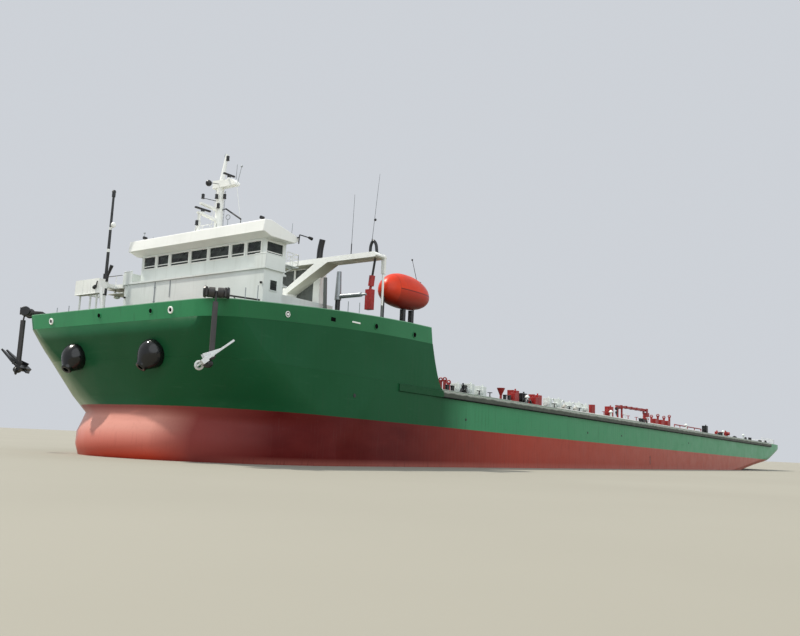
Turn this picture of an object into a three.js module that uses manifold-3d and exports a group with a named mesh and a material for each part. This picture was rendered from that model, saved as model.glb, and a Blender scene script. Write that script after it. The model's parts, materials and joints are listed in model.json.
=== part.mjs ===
// A self-propelled river barge in light condition, as a 1:10 scale model.
//
// Every size and place below is written in metres of the real barge, and the finished group is scaled
// so that one real metre is 100 mm in the model. +X is towards the bow, +Y is port and +Z is up. Heights
// are above the flat bottom. The model's origin is on the centreline at that height, near the middle of
// the length, which is ORIGIN_X in the lengthwise measure used here.

import * as THREE from 'three';
import { mergeVertices } from 'three/addons/utils/BufferGeometryUtils.js';
import Module from 'manifold-3d';

const wasm = await Module();
wasm.setup();

// Scale of the model, and the gap left between pieces that rest on each other.
const MODEL_SCALE = 10;
const MM_PER_REAL_METRE = 1000 / MODEL_SCALE;
const GAP = 0.004;

// Driving dimensions of the hull.
const ORIGIN_X = -2.293;
const HALF_BEAM = 11.9;
const BOW_FRONT = 75.0;
const STERN_END = -80.2;
const BOW_BLOCK_AFT = 57.0;
const MIDBODY_AFT = -38.0;
const BILGE = 0.8;
const FORECASTLE_AFT = 48.03;
const FORECASTLE_RAKE = 1.87;
const DECK_LINE = 8.0;
const KNUCKLE_AT_BOW = 10.75;
const KNUCKLE_RISE = 1.08;
const BULWARK_HEIGHT = 1.12;
const BULWARK_RISE = 0.3;
const BULWARK_THICKNESS = 0.15;
const FENDER_FORWARD_END = 54.7;
const FENDER_THINS_AT = 49.9;
const FENDER_DEPTH = 0.7;
const SKEG_OFFSET = 5.5;

// Driving dimensions of the superstructure.
const HOUSE = { aft: 65.9, front: 67.9, half: 8.65, top: 15.55, wall: 0.12 };
const STAIR_BLOCK = { aft: 61.2, half: 4.0 };
const CASING = { aft: 54.6, half: 3.9, top: 15.0 };
const BRIDGE_DECK = { front: 68.0, half: 8.8, thickness: 0.15 };
const WHEELHOUSE = { aft: 64.7, front: 67.1, half: 7.6, top: 18.2, wall: 0.12 };
const ROOF_HALF = 8.4;
const GANTRY = { front: 57.0, depth: 1.5, half: 10.6, top: 18.98, thickness: 0.46, knee: 5.2 };
const MAST_X = 65.35;

// Moving parts: where each turning axis lies.
const PROPELLER_X = -62.5;
const SHAFT_Z = 1.05;
const RUDDER_X = -65.2;
const CRANE_X = -33.5;
const BOOM_PIN_Z = 10.6;
const BOAT_CRANE = { x: 57.7, y: 7.2, z: 15.1 };
const LOWER_SCANNER = { x: 67.1, y: 0, z: 21.35, halfLength: 0.8 };
const UPPER_SCANNER = { x: 65.4, y: 0.98, z: 24.65, halfLength: 0.6 };
const ROLLER = { x: 74.88, y: 11.58, z: 12.27 };
const ANCHOR = { x: 75.08, y: 11.78, pin: 8.0, top: 11.6 };

// Finishes, as seen on the real barge in daylight.
const finish = (color, roughness, metalness = 0) =>
  new THREE.MeshStandardMaterial({ color, roughness, metalness });
const GREEN = finish(0x1c5a3a, 0.5);
const LIGHT_GREEN = finish(0x2b6f4c, 0.5);
const WHITE = finish(0xe4e6e3, 0.5);
const RED = finish(0xb02a2a, 0.5);
const ORANGE = finish(0xe04a16, 0.4);
const BLACK = finish(0x17181a, 0.4);
const DARK_GREY = finish(0x3a3d40, 0.8);
const STEEL = finish(0x8c9094, 0.4, 0.8);
const BRONZE = finish(0x9a7a3c, 0.35, 0.9);

// Solids: booleans.

function toManifold(geometry) {
  const bare = geometry.clone();
  bare.deleteAttribute('normal');
  bare.deleteAttribute('uv');
  const merged = mergeVertices(bare, 1e-5);
  return new wasm.Manifold(new wasm.Mesh({
    numProp: 3,
    vertProperties: new Float32Array(merged.attributes.position.array),
    triVerts: new Uint32Array(merged.index.array),
  }));
}

function toGeometry(manifold) {
  const mesh = manifold.getMesh();
  const geometry = new THREE.BufferGeometry();
  geometry.setAttribute('position', new THREE.BufferAttribute(new Float32Array(mesh.vertProperties), 3));
  geometry.setIndex(new THREE.BufferAttribute(new Uint32Array(mesh.triVerts), 1));
  geometry.computeVertexNormals();
  return geometry;
}

function join(...geometries) {
  return toGeometry(geometries.map(toManifold).reduce((whole, piece) => whole.add(piece)));
}

function cut(body, ...tools) {
  return toGeometry(tools.map(toManifold).reduce((rest, tool) => rest.subtract(tool), toManifold(body)));
}

function keepInside(body, region) {
  return toGeometry(toManifold(body).intersect(toManifold(region)));
}

// Drops the slivers that a cut along a seam can leave beside the body itself.
function mainBody(body) {
  const parts = toManifold(body).decompose();
  return toGeometry(parts.reduce((best, part) => (part.volume() > best.volume() ? part : best)));
}

// A piece that stands on another one is cut to its surface, a hair above it.
function seatOn(piece, carrier) {
  return cut(piece, carrier, carrier.clone().translate(0, 0, GAP));
}

// Solids: shapes.

function box(x0, x1, y0, y1, z0, z1) {
  return new THREE.BoxGeometry(x1 - x0, y1 - y0, z1 - z0)
    .translate((x0 + x1) / 2, (y0 + y1) / 2, (z0 + z1) / 2);
}

function rod(from, to, radius, sides = 12, endRadius = radius) {
  const start = new THREE.Vector3(...from);
  const end = new THREE.Vector3(...to);
  const span = end.clone().sub(start);
  const turn = new THREE.Quaternion().setFromUnitVectors(new THREE.Vector3(0, 1, 0), span.clone().normalize());
  return new THREE.CylinderGeometry(endRadius, radius, span.length(), sides)
    .applyQuaternion(turn)
    .translate(...start.add(end).multiplyScalar(0.5).toArray());
}

// A pipe of round section along a smooth route.
function pipe(route, radius, steps, sides = 10) {
  const curve = new THREE.CatmullRomCurve3(route.map((point) => new THREE.Vector3(...point)));
  const circle = new THREE.Shape();
  circle.absarc(0, 0, radius, 0, Math.PI * 2);
  return new THREE.ExtrudeGeometry(circle, { extrudePath: curve, steps, curveSegments: sides });
}

// An outline in the X-Z plane, extruded along Y.
function profileXZ(points, y0, y1) {
  const shape = new THREE.Shape(points.map(([x, z]) => new THREE.Vector2(x, z)));
  return new THREE.ExtrudeGeometry(shape, { depth: y1 - y0, bevelEnabled: false })
    .rotateX(Math.PI / 2)
    .translate(0, y1, 0);
}

// An outline in the Y-Z plane, extruded along X.
function profileYZ(points, x0, x1) {
  const shape = new THREE.Shape(points.map(([y, z]) => new THREE.Vector2(y, z)));
  return new THREE.ExtrudeGeometry(shape, { depth: x1 - x0, bevelEnabled: false })
    .rotateX(Math.PI / 2)
    .rotateZ(Math.PI / 2)
    .translate(x0, 0, 0);
}

// A closed skin over a row of rings with equal, even point counts. Each end is filled by rungs between
// the ring's first half and its second half, so a ring runs out along one side and back along the other.
function loft(rings) {
  const count = rings[0].length;
  const index = [];
  for (let ring = 0; ring + 1 < rings.length; ring += 1) {
    for (let point = 0; point < count; point += 1) {
      const next = (point + 1) % count;
      const a = ring * count + point;
      const b = ring * count + next;
      index.push(a, b, b + count, a, b + count, a + count);
    }
  }
  const last = (rings.length - 1) * count;
  for (let rung = 0; rung + 1 < count / 2; rung += 1) {
    const [a, b, c, d] = [rung, rung + 1, count - 2 - rung, count - 1 - rung];
    index.push(c, b, a, d, c, a);
    index.push(last + a, last + b, last + c, last + a, last + c, last + d);
  }
  const geometry = new THREE.BufferGeometry();
  geometry.setAttribute('position', new THREE.Float32BufferAttribute(rings.flat(2), 3));
  geometry.setIndex(index);
  return facingOut(geometry);
}

function signedVolume(geometry) {
  const { array } = geometry.attributes.position;
  const corner = (number) => new THREE.Vector3().fromArray(array, geometry.index.array[number] * 3);
  let volume = 0;
  for (let start = 0; start < geometry.index.count; start += 3) {
    volume += corner(start).dot(corner(start + 1).cross(corner(start + 2)));
  }
  return volume / 6;
}

function turnFaces(geometry) {
  const order = Array.from(geometry.index.array);
  for (let start = 0; start < order.length; start += 3) {
    [order[start], order[start + 1]] = [order[start + 1], order[start]];
  }
  geometry.setIndex(order);
  geometry.computeVertexNormals();
  return geometry;
}

function facingOut(geometry) {
  geometry.computeVertexNormals();
  return signedVolume(geometry) < 0 ? turnFaces(geometry) : geometry;
}

// Mirrors a piece from port to starboard and turns its faces out again.
function mirrorY(geometry) {
  const copy = geometry.index ? geometry.clone() : mergeVertices(geometry.clone());
  return turnFaces(copy.scale(1, -1, 1));
}

// Hull lines.

const clamp = (value, low, high) => Math.min(high, Math.max(low, value));

// Reads one column of a table at a value of its first column, in straight steps between the rows.
function readTable(table, value, column) {
  const last = table.length - 1;
  const row = clamp(table.findIndex((entry) => entry[0] >= value), 1, last);
  const above = value >= table[last][0] ? last : row;
  const low = table[above - 1];
  const high = table[above];
  const share = clamp((value - low[0]) / (high[0] - low[0]), 0, 1);
  return low[column] + share * (high[column] - low[column]);
}

// The main deck falls gently towards the stern; the fender covers the top of the side below its edge.
const mainDeckZ = (x) => 7.2 + 0.0135 * x;
const fenderBottomZ = (x) => mainDeckZ(x) - FENDER_DEPTH;
// Deck gear starts below the deck and is then cut to it.
const belowDeckZ = (x) => mainDeckZ(x) - 0.3;

// The forecastle deck and the knuckle below the bulwark rise aft from the bow, then run level. The
// bulwark above them also grows a little higher on the way.
const shareAft = (x) => clamp((BOW_FRONT - x) / 23, 0, 1);
const knuckleZ = (x) => KNUCKLE_AT_BOW + KNUCKLE_RISE * Math.sin(shareAft(x) * Math.PI / 2);
const bulwarkTopZ = (x) => knuckleZ(x) + BULWARK_HEIGHT + BULWARK_RISE * shareAft(x);

// Plan shape of the bow by height: foremost point, corner length and width, and half breadth.
const BOW_TABLE = [
  // height, front, cornerX, cornerY, half
  [0.0, 71.6, 10.6, 10.2, HALF_BEAM - BILGE],
  [0.24, 72.9, 11.2, 10.6, HALF_BEAM - 0.25],
  [0.8, 73.9, 11.8, 11.0, HALF_BEAM],
  [1.8, 74.35, 12.0, 11.2, HALF_BEAM],
  [2.8, 74.3, 11.8, 11.2, HALF_BEAM],
  [3.6, 73.8, 11.4, 11.0, HALF_BEAM],
  [4.3, 73.3, 10.8, 10.6, HALF_BEAM],
  [5.6, 73.5, 8.2, 8.2, HALF_BEAM],
  [7.3, 73.95, 5.6, 5.8, HALF_BEAM],
  [9.2, 74.55, 3.4, 3.6, HALF_BEAM],
  [KNUCKLE_AT_BOW, 75.1, 2.4, 2.4, HALF_BEAM],
  [KNUCKLE_AT_BOW + BULWARK_HEIGHT, 75.25, 2.2, 2.2, HALF_BEAM],
];
const ARC_STEPS = 8;
const SIDE_STEPS = 6;

// One closed plan outline of the bow, from the aft starboard corner round the front to port.
function bowOutline(height, aft, inset = 0) {
  const front = readTable(BOW_TABLE, height, 1) - inset;
  const cornerX = readTable(BOW_TABLE, height, 2) - inset;
  const cornerY = readTable(BOW_TABLE, height, 3) - inset;
  const half = readTable(BOW_TABLE, height, 4) - inset;
  const starboard = [];
  for (let step = 0; step < SIDE_STEPS; step += 1) {
    starboard.push([aft + (front - cornerX - aft) * step / SIDE_STEPS, -half]);
  }
  for (let step = 0; step <= ARC_STEPS; step += 1) {
    const angle = step / ARC_STEPS * Math.PI / 2;
    starboard.push([
      front - cornerX + cornerX * Math.sin(angle),
      -(half - cornerY + cornerY * Math.cos(angle)),
    ]);
  }
  const port = starboard.map(([x, y]) => [x, -y]).reverse();
  return [...starboard, ...port];
}

function bowBlock() {
  const heights = BOW_TABLE.map((row) => row[0]).filter((height) => height < 7.3);
  const rings = heights.map((height) =>
    bowOutline(height, BOW_BLOCK_AFT).map(([x, y]) => [x, y, height]));
  rings.push(bowOutline(DECK_LINE, BOW_BLOCK_AFT).map(([x, y]) => [x, y, mainDeckZ(x)]));
  return loft(rings);
}

// The aft end of the forecastle sweeps down and aft in a hollow curve to the main deck.
function forecastleBlock() {
  const shares = [0, 0.07, 0.18, 0.35, 0.6, 0.8, 1];
  const rings = shares.map((share) => {
    const height = DECK_LINE + share * (KNUCKLE_AT_BOW - DECK_LINE);
    const aft = FORECASTLE_AFT + FORECASTLE_RAKE * share ** 0.6;
    return bowOutline(height, aft).map(([x, y]) => {
      const low = mainDeckZ(x) + GAP;
      return [x, y, low + share * (knuckleZ(x) - low)];
    });
  });
  return loft(rings);
}

// The bulwark is one thin wall round the forecastle, later split into a front and two sides.
function bulwarkWall(forecastle) {
  const top = KNUCKLE_AT_BOW + BULWARK_HEIGHT;
  const aft = FORECASTLE_AFT + FORECASTLE_RAKE + 0.04;
  const outerLow = bowOutline(KNUCKLE_AT_BOW, aft);
  const outerTop = bowOutline(top, aft + 0.25);
  const innerTop = bowOutline(top, aft + 0.25, BULWARK_THICKNESS);
  const innerLow = bowOutline(KNUCKLE_AT_BOW, aft, BULWARK_THICKNESS);
  const foot = ([x, y]) => [x, y, knuckleZ(x) + GAP];
  const stations = outerLow.map((point, station) => {
    const high = bulwarkTopZ(point[0]);
    return [
      foot(point),
      [...outerTop[station], high],
      [...innerTop[station], high],
      foot(innerLow[station]),
    ];
  });
  return seatOn(loft(stations), forecastle);
}

// Cross-section of the parallel part of the hull at one place along it.
function hullSection(x, half, bottom) {
  const deck = mainDeckZ(x);
  const bilge = Math.min(BILGE, (deck - bottom) * 0.4);
  return [
    [x, -half, deck],
    [x, -half, bottom + bilge],
    [x, -half + bilge * 0.3, bottom + bilge * 0.3],
    [x, -half + bilge, bottom],
    [x, half - bilge, bottom],
    [x, half - bilge * 0.3, bottom + bilge * 0.3],
    [x, half, bottom + bilge],
    [x, half, deck],
  ];
}

// The stern: the bottom rises out of the water, then runs up in a rake to a rounded deck edge.
const STERN_TABLE = [
  // x, half breadth, bottom height
  [STERN_END, 10.2, 5.85],
  [-79.3, 11.1, 5.5],
  [-77.5, 11.6, 4.95],
  [-74.0, 11.82, 4.05],
  [-70.0, HALF_BEAM, 3.1],
  [-68.0, HALF_BEAM, 2.7],
  [-64.0, HALF_BEAM, 2.35],
  [-58.0, HALF_BEAM, 1.75],
  [-51.0, HALF_BEAM, 0.95],
  [-45.0, HALF_BEAM, 0.35],
  [-41.0, HALF_BEAM, 0.05],
  [MIDBODY_AFT, HALF_BEAM, 0.0],
];

function fender(side) {
  const outer = HALF_BEAM + 0.28;
  const rows = [];
  const ends = [-70, -40, 0, FORECASTLE_AFT, FENDER_THINS_AT, FENDER_FORWARD_END];
  ends.forEach((x) => {
    const depth = x > FORECASTLE_AFT ? 0.12 : 0.28;
    const low = fenderBottomZ(x);
    const high = low + FENDER_DEPTH - 0.02;
    rows.push([
      [x, HALF_BEAM + GAP, low],
      [x, HALF_BEAM + depth, low + 0.06],
      [x, HALF_BEAM + depth, high - 0.06],
      [x, HALF_BEAM + GAP, high],
    ]);
  });
  const strake = loft(rows);
  return side > 0 ? strake : mirrorY(strake);
}
const SIDES = [['port', 1], ['starboard', -1]];
const onSide = (geometry, side) => (side > 0 ? geometry : mirrorY(geometry));

// Stern gear.

// A piece that hangs below another one is cut to its underside.
function hangFrom(piece, carrier) {
  return cut(piece, carrier, carrier.clone().translate(0, 0, -GAP));
}

function skeg(stern) {
  const outline = [[-61.2, 2.6], [-44, 2.6], [-44, 0.12], [-48, 0.06], [-60.4, 0.06]];
  const fin = profileXZ(outline, SKEG_OFFSET - 0.18, SKEG_OFFSET + 0.18);
  const boss = rod([-56, SKEG_OFFSET, SHAFT_Z], [PROPELLER_X + 0.6, SKEG_OFFSET, SHAFT_Z], 0.34, 14, 0.26);
  return hangFrom(join(fin, boss), stern);
}

function propeller() {
  const hubFront = PROPELLER_X + 0.6 - GAP;
  const hub = rod([hubFront, SKEG_OFFSET, SHAFT_Z], [PROPELLER_X - 0.4, SKEG_OFFSET, SHAFT_Z], 0.24, 14, 0.12);
  const blades = [0, 1, 2, 3].map((number) => new THREE.BoxGeometry(0.1, 0.46, 0.75)
    .rotateZ(0.55)
    .translate(0, 0, 0.5)
    .rotateX(number * Math.PI / 2)
    .translate(PROPELLER_X + 0.1, SKEG_OFFSET, SHAFT_Z));
  return join(hub, ...blades);
}

// The stock ends in a flat top just under the lowest point of the hull above it.
const STOCK_RADIUS = 0.13;

function rudder() {
  const blade = profileXZ([[-64.5, 0.12], [-66.6, 0.12], [-66.9, 1.95], [-64.5, 1.95]],
    SKEG_OFFSET - 0.09, SKEG_OFFSET + 0.09);
  const stockTop = readTable(STERN_TABLE, RUDDER_X + STOCK_RADIUS, 2) - GAP;
  const stock = rod([RUDDER_X, SKEG_OFFSET, 1.8], [RUDDER_X, SKEG_OFFSET, stockTop], STOCK_RADIUS, 14);
  return join(blade, stock);
}

// Superstructure.

// Windows of the wheelhouse front: centre across the ship and width.
const FRONT_WINDOWS = [
  // centre, width
  [0, 2.0],
  [2.47, 2.28],
  [-2.47, 2.28],
  [4.67, 1.46],
  [-4.67, 1.46],
  [6.5, 1.54],
  [-6.5, 1.54],
];
const WINDOW_SILL = 17.0;
const WINDOW_HEAD = 18.0;

// Weather doors, all in walls that face aft: wall face, opening across the ship, sill and head.
const DOORS = {
  wheelhouse: { face: WHEELHOUSE.aft, near: 2.6, far: 3.5, sill: 15.84, head: 17.82 },
  deckhouse: { face: HOUSE.aft, near: 5.4, far: 6.4, sill: 11.9, head: 13.9 },
};

function doorOpening({ face, near, far, sill, head }) {
  return box(face - 0.2, face + 0.3, near, far, sill, head);
}

// Two lugs on the wall carry the hinge barrel of a door above and below it.
function doorLugs({ face, near, sill, head }) {
  const lug = (z0, z1) => box(face - 0.065, face + 0.06, near - 0.06, near + 0.1, z0, z1);
  return [lug(head - 0.046, head + 0.06), lug(sill - 0.06, sill + 0.046)];
}

function door({ face, near, far, sill, head }) {
  const leaf = box(face + 0.0, face + 0.05, near + 0.08, far - 0.05, sill + 0.05, head - 0.05);
  const barrel = rod([face - 0.02, near + 0.06, sill + 0.05], [face - 0.02, near + 0.06, head - 0.05], 0.04, 12);
  const handle = box(face - 0.08, face + 0.01, far - 0.3, far - 0.12, (sill + head) / 2, (sill + head) / 2 + 0.05);
  return join(leaf, barrel, handle);
}

function bothSides(build) {
  const port = build();
  return [port, mirrorY(port)];
}

// The deckhouse is wide and shallow. Behind it a narrower stair block and then a lower machinery casing
// stand on the centreline. The bridge deck closes the first two on top; the casing has its own roof.
function deckhouse(forecastle) {
  const { aft, front, half, top, wall } = HOUSE;
  const block = (inset, z0, z1, casingTop) => join(
    box(aft + inset, front - inset, -half + inset, half - inset, z0, z1),
    box(STAIR_BLOCK.aft + inset, aft + 1, -STAIR_BLOCK.half + inset, STAIR_BLOCK.half - inset, z0, z1),
    box(CASING.aft + inset, STAIR_BLOCK.aft + 1, -CASING.half + inset, CASING.half - inset, z0, casingTop),
  );
  const rooms = block(wall, 10.0, top + 1, CASING.top - wall);
  const lugs = doorLugs(DOORS.deckhouse);
  const walls = cut(block(0, 10.4, top, CASING.top), rooms, ...bothSides(() => doorOpening(DOORS.deckhouse)));
  return seatOn(join(walls, ...lugs, ...lugs.map(mirrorY)), forecastle);
}

function bridgeDeck() {
  const z0 = HOUSE.top + GAP;
  const z1 = z0 + BRIDGE_DECK.thickness;
  const wide = box(HOUSE.aft - 0.1, BRIDGE_DECK.front, -BRIDGE_DECK.half, BRIDGE_DECK.half, z0, z1);
  const middle = box(WHEELHOUSE.aft - 0.1, HOUSE.aft, -WHEELHOUSE.half - 0.1, WHEELHOUSE.half + 0.1, z0, z1);
  const narrow = box(STAIR_BLOCK.aft - 0.2, WHEELHOUSE.aft, -STAIR_BLOCK.half - 0.3, STAIR_BLOCK.half + 0.3, z0, z1);
  const hatch = box(61.8, 63.4, -0.8, 0.8, z0 - 1, z1 + 1);
  return cut(join(wide, middle, narrow), hatch);
}

function wheelhouse() {
  const { aft, front, half, top, wall } = WHEELHOUSE;
  const floor = HOUSE.top + BRIDGE_DECK.thickness + 2 * GAP;
  const shell = box(aft, front, -half, half, floor, top);
  const room = box(aft + wall, front - wall, -half + wall, half - wall, floor - 1, top + 1);
  const panes = FRONT_WINDOWS.map(([centre, width]) =>
    box(front - 0.5, front + 0.5, centre - width / 2, centre + width / 2, WINDOW_SILL, WINDOW_HEAD));
  const sidePane = box(65.05, 66.8, half - 0.5, half + 0.5, WINDOW_SILL, WINDOW_HEAD);
  const aftPane = box(aft - 0.5, aft + 0.5, 4.4, 6.6, WINDOW_SILL, WINDOW_HEAD);
  const pairs = [() => sidePane, () => aftPane, () => doorOpening(DOORS.wheelhouse)];
  const tools = [room, ...panes, ...pairs.flatMap(bothSides)];
  const lugs = doorLugs(DOORS.wheelhouse);
  return join(cut(shell, ...tools), ...lugs, ...lugs.map(mirrorY));
}

// The roof is a wedge: a deep fascia over the front windows that thins out towards the aft edge.
function wheelhouseRoof() {
  const low = WHEELHOUSE.top + GAP;
  const outline = [
    [64.6, low], [67.15, low], [68.05, 18.5], [67.95, 19.4], [67.2, 19.5], [64.1, 18.75], [64.1, 18.5],
  ];
  return profileXZ(outline, -ROOF_HALF, ROOF_HALF);
}

// The radar mast: a stout column with two arms reaching forward to a stanchion, a wedge-shaped platform
// out to port and a tapering pole that leans aft.
function radarMast(roof) {
  const column = rod([MAST_X, 0, 18.7], [MAST_X, 0, 23.9], 0.37, 14, 0.3);
  const pole = rod([MAST_X + 0.05, 0, 23.7], [MAST_X - 0.4, 0, 26.9], 0.25, 12, 0.11);
  const platform = profileYZ([[-0.75, 23.75], [2.05, 23.75], [2.05, 23.92], [1.6, 24.3], [-0.75, 24.45]],
    MAST_X - 0.3, MAST_X + 0.3);
  const lowerArm = profileXZ([[MAST_X, 20.75], [67.6, 21.05], [67.6, 21.18], [MAST_X, 21.0]], -0.17, 0.17);
  const upperArm = profileXZ([[MAST_X, 21.65], [67.4, 21.87], [67.4, 22.0], [MAST_X, 21.9]], -0.14, 0.14);
  const stanchion = rod([67.42, 0, 19], [67.42, 0, 21.1], 0.13, 10);
  const lowerPost = rod([LOWER_SCANNER.x, 0, 21.0], [LOWER_SCANNER.x, 0, LOWER_SCANNER.z - 0.1 - GAP], 0.15, 12);
  const upperPost = rod([UPPER_SCANNER.x, UPPER_SCANNER.y, 24.2],
    [UPPER_SCANNER.x, UPPER_SCANNER.y, UPPER_SCANNER.z - 0.1 - GAP], 0.13, 12);
  const pieces = [column, pole, platform, lowerArm, upperArm, stanchion, lowerPost, upperPost];
  return seatOn(join(...pieces), roof);
}

function scanner({ x, y, z, halfLength }) {
  const gearbox = rod([x, y, z - 0.1], [x, y, z + 0.1], 0.15, 12);
  const bar = box(x - halfLength, x + halfLength, y - 0.09, y + 0.09, z + 0.06, z + 0.2);
  return join(gearbox, bar);
}

// The gantry aft of the house: a beam across the ship on a broad flat pylon, which stands on the
// machinery casing. Two diagonals in front of the pylon rise from one foot to the beam. A knee hangs
// below each end of the beam, and a hoist with its block beside each knee.
function gantry(house) {
  const { front, depth, half, top, thickness, knee } = GANTRY;
  const aft = front - depth;
  const under = top - thickness;
  const beam = profileYZ([
    [-half, under + 0.12], [-half + 0.15, under], [half - 0.15, under], [half, under + 0.12],
    [half, top - 0.22], [half - 0.25, top], [-half + 0.25, top], [-half, top - 0.22],
  ], aft, front);
  const diagonals = bothSides(() => profileYZ(
    [[-0.35, CASING.top - 0.03], [0.35, CASING.top - 0.03], [0.35, 16.05], [knee, under + 0.05], [knee - 1.6, under + 0.05], [-0.35, 16.2]],
    aft, front));
  const pylon = box(aft - 0.6, aft + 0.15, -3.2, 3.2, CASING.top - 0.03, under + 0.1);
  const knees = bothSides(() => box(aft, aft + 0.25, half - 0.38, half - 0.03, 17.25, under + 0.3));
  const hoists = [
    rod([56.25, 9.95, under + 0.1], [56.25, 9.7, 17.0], 0.1, 10),
    rod([56.25, 9.7, 17.05], [56.25, 9.6, 16.15], 0.26, 12),
    rod([56.25, 9.6, 16.2], [56.25, 9.5, 15.7], 0.12, 10),
    box(56.0, 56.5, 9.2, 9.85, 14.1, 15.85),
  ].flatMap((shape) => [shape, mirrorY(shape)]);
  return seatOn(join(beam, ...diagonals, pylon, ...knees, ...hoists), house);
}

// Exhausts on top of the gantry: a plain bent pipe inboard and a gooseneck outboard, on one foot plate.
function exhausts() {
  const x = GANTRY.front - GANTRY.depth / 2;
  const z = GANTRY.top + GAP;
  const plate = box(x - 0.35, x + 0.35, 3.1, 10.25, z, z + 0.05);
  const inboard = pipe([[x, 3.45, z + 0.02], [x, 3.5, z + 1.0], [x, 3.7, z + 1.9]], 0.28, 6);
  const outboard = pipe([[x, 9.35, z + 0.02], [x, 9.38, z + 0.75], [x, 9.62, z + 1.15], [x, 9.92, z + 0.85],
    [x, 10.08, z + 0.04]], 0.13, 14);
  return join(plate, inboard, outboard);
}

// Lifeboat: length sections with a round hull below and a round canopy above.
const BOAT = { x: 51.6, y: 9.55, z: 16.25 };
const BOAT_TABLE = [
  // along, half width, height above the seam, depth below the seam
  [-3.4, 0.35, 0.35, 0.3],
  [-3.1, 0.85, 0.95, 0.75],
  [-2.4, 1.18, 1.4, 1.1],
  [-1.2, 1.32, 1.75, 1.35],
  [0.4, 1.35, 1.85, 1.42],
  [1.8, 1.22, 1.6, 1.3],
  [2.6, 0.9, 1.05, 0.9],
  [3.0, 0.4, 0.45, 0.4],
];
const BOAT_SIDES = 20;

function lifeboat() {
  const rings = BOAT_TABLE.map(([along, half, up, down]) => {
    const ring = [];
    for (let step = 0; step < BOAT_SIDES; step += 1) {
      const angle = step / BOAT_SIDES * Math.PI * 2;
      const height = Math.sin(angle) * (Math.sin(angle) > 0 ? up : down);
      ring.push([BOAT.x + along, BOAT.y + half * Math.cos(angle), BOAT.z + height]);
    }
    return ring;
  });
  return loft(rings);
}

function lifeboatCradle(forecastle, boat) {
  const posts = [-1.4, -0.15].map((along) =>
    box(BOAT.x + along - 0.19, BOAT.x + along + 0.19, BOAT.y - 0.19, BOAT.y + 0.19, 11, 15.5));
  const prop = rod([BOAT.x + 2.75, BOAT.y, 11], [BOAT.x + 2.75, BOAT.y, 16.2], 0.1, 10);
  const tie = box(BOAT.x - 1.4, BOAT.x + 2.75, BOAT.y - 0.08, BOAT.y + 0.08, 12.4, 12.6);
  const cleared = boat.clone().translate(0, 0, -GAP);
  return cut(seatOn(join(...posts, prop, tie), forecastle), boat, cleared);
}

function boatCranePost(forecastle) {
  const { x, y, z } = BOAT_CRANE;
  const post = rod([x, y, 11], [x, y, z - 0.25 - GAP], 0.22, 14);
  return seatOn(post, forecastle);
}

function boatCraneBoom() {
  const { x, y, z } = BOAT_CRANE;
  const head = rod([x, y, z - 0.25], [x, y, z + 2.25], 0.3, 14, 0.2);
  const barrel = rod([x, y, z + 0.05], [x, y + 2.6, z + 0.05], 0.19, 12);
  const nose = rod([x, y + 2.5, z + 0.05], [x, y + 3.1, z + 0.05], 0.1, 10);
  return join(head, barrel, nose);
}

// Signal mast at the starboard side. A wing beside the bridge deck holds it, and a lamp cabinet on legs
// stands forward of it.
function signalMast(forecastle) {
  const pole = rod([68.9, -10.1, 10.8], [68.9, -10.1, 23.6], 0.17, 12, 0.1);
  const lamp = rod([68.9, -10.1, 23.5], [68.9, -10.1, 24.0], 0.16, 10);
  const wing = box(65.9, 67.95, -11.25, -8.87, 15.32, 15.68);
  const bracket = box(67.9, 69.1, -10.3, -9.9, 15.32, 15.68);
  const tray = box(66.4, 67.95, -11.05, -8.87, 14.88, 14.95);
  const hangers = [-10.9, -9.1].map((y) => box(67.2, 67.35, y - 0.06, y + 0.06, 14.9, 15.4));
  const cabinet = box(71.0, 71.6, -10.3, -6.95, 14.15, 15.4);
  const strut = box(68.8, 71.3, -10.2, -10.0, 14.3, 14.5);
  const legs = [-9.9, -8.4, -7.5].map((y) => rod([71.3, y, 10.8], [71.3, y, 14.3], 0.08, 8));
  const brace = rod([71.3, -7.05, 14.6], [71.3, -6.2, 10.8], 0.13, 8);
  return seatOn(join(pole, lamp, wing, bracket, tray, ...hangers, cabinet, strut, ...legs, brace), forecastle);
}

// Ground tackle at the bow. The port pieces are mirrored for starboard.
const OUTBOARD_TURN = Math.PI / 4;

function atRoller(geometry) {
  return geometry.rotateZ(OUTBOARD_TURN).translate(ROLLER.x, ROLLER.y, ROLLER.z);
}

// In the fairlead's own frame +X points outboard over the corner and +Y runs along the roller. Two
// cheeks hang outside the bulwark from arms that pass over its top to a knee on the deck inside.
const AXLE_RADIUS = 0.12;
const ROLLER_RADIUS = 0.34;

function fairlead(blockers) {
  const cheeks = [-0.62, 0.62].flatMap((y) => [
    box(-0.3, 0.42, y - 0.07, y + 0.07, -0.3, 0.3),
    box(-1.35, -0.2, y - 0.07, y + 0.07, -0.15, 0.05),
  ]);
  const bridge = box(-1.35, -0.95, -0.69, 0.69, -0.15, 0.05);
  const knee = box(-1.35, -0.95, -0.3, 0.3, -1.9, 0);
  const bore = rod([0, -1, 0], [0, 1, 0], AXLE_RADIUS + GAP, 16);
  const frame = atRoller(cut(join(...cheeks, bridge, knee), bore));
  return blockers.reduce((rest, blocker) => seatOn(rest, blocker), frame);
}

function roller() {
  const axle = rod([0, -0.69, 0], [0, 0.69, 0], AXLE_RADIUS, 16);
  const drums = [[-0.5, -0.1], [0.1, 0.5]].map(([y0, y1]) => rod([0, y0, 0], [0, y1, 0], ROLLER_RADIUS, 20));
  return atRoller(join(axle, ...drums));
}

// The anchors hang freely, so each one has turned to its own side about its shank.
const ANCHORS = [
  // name, side, turn about the shank
  ['port', 1, -0.6],
  ['starboard', -1, 2.11],
];
const FLUKE_TILT = 0.88;
const PIN_RADIUS = 0.12;

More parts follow.
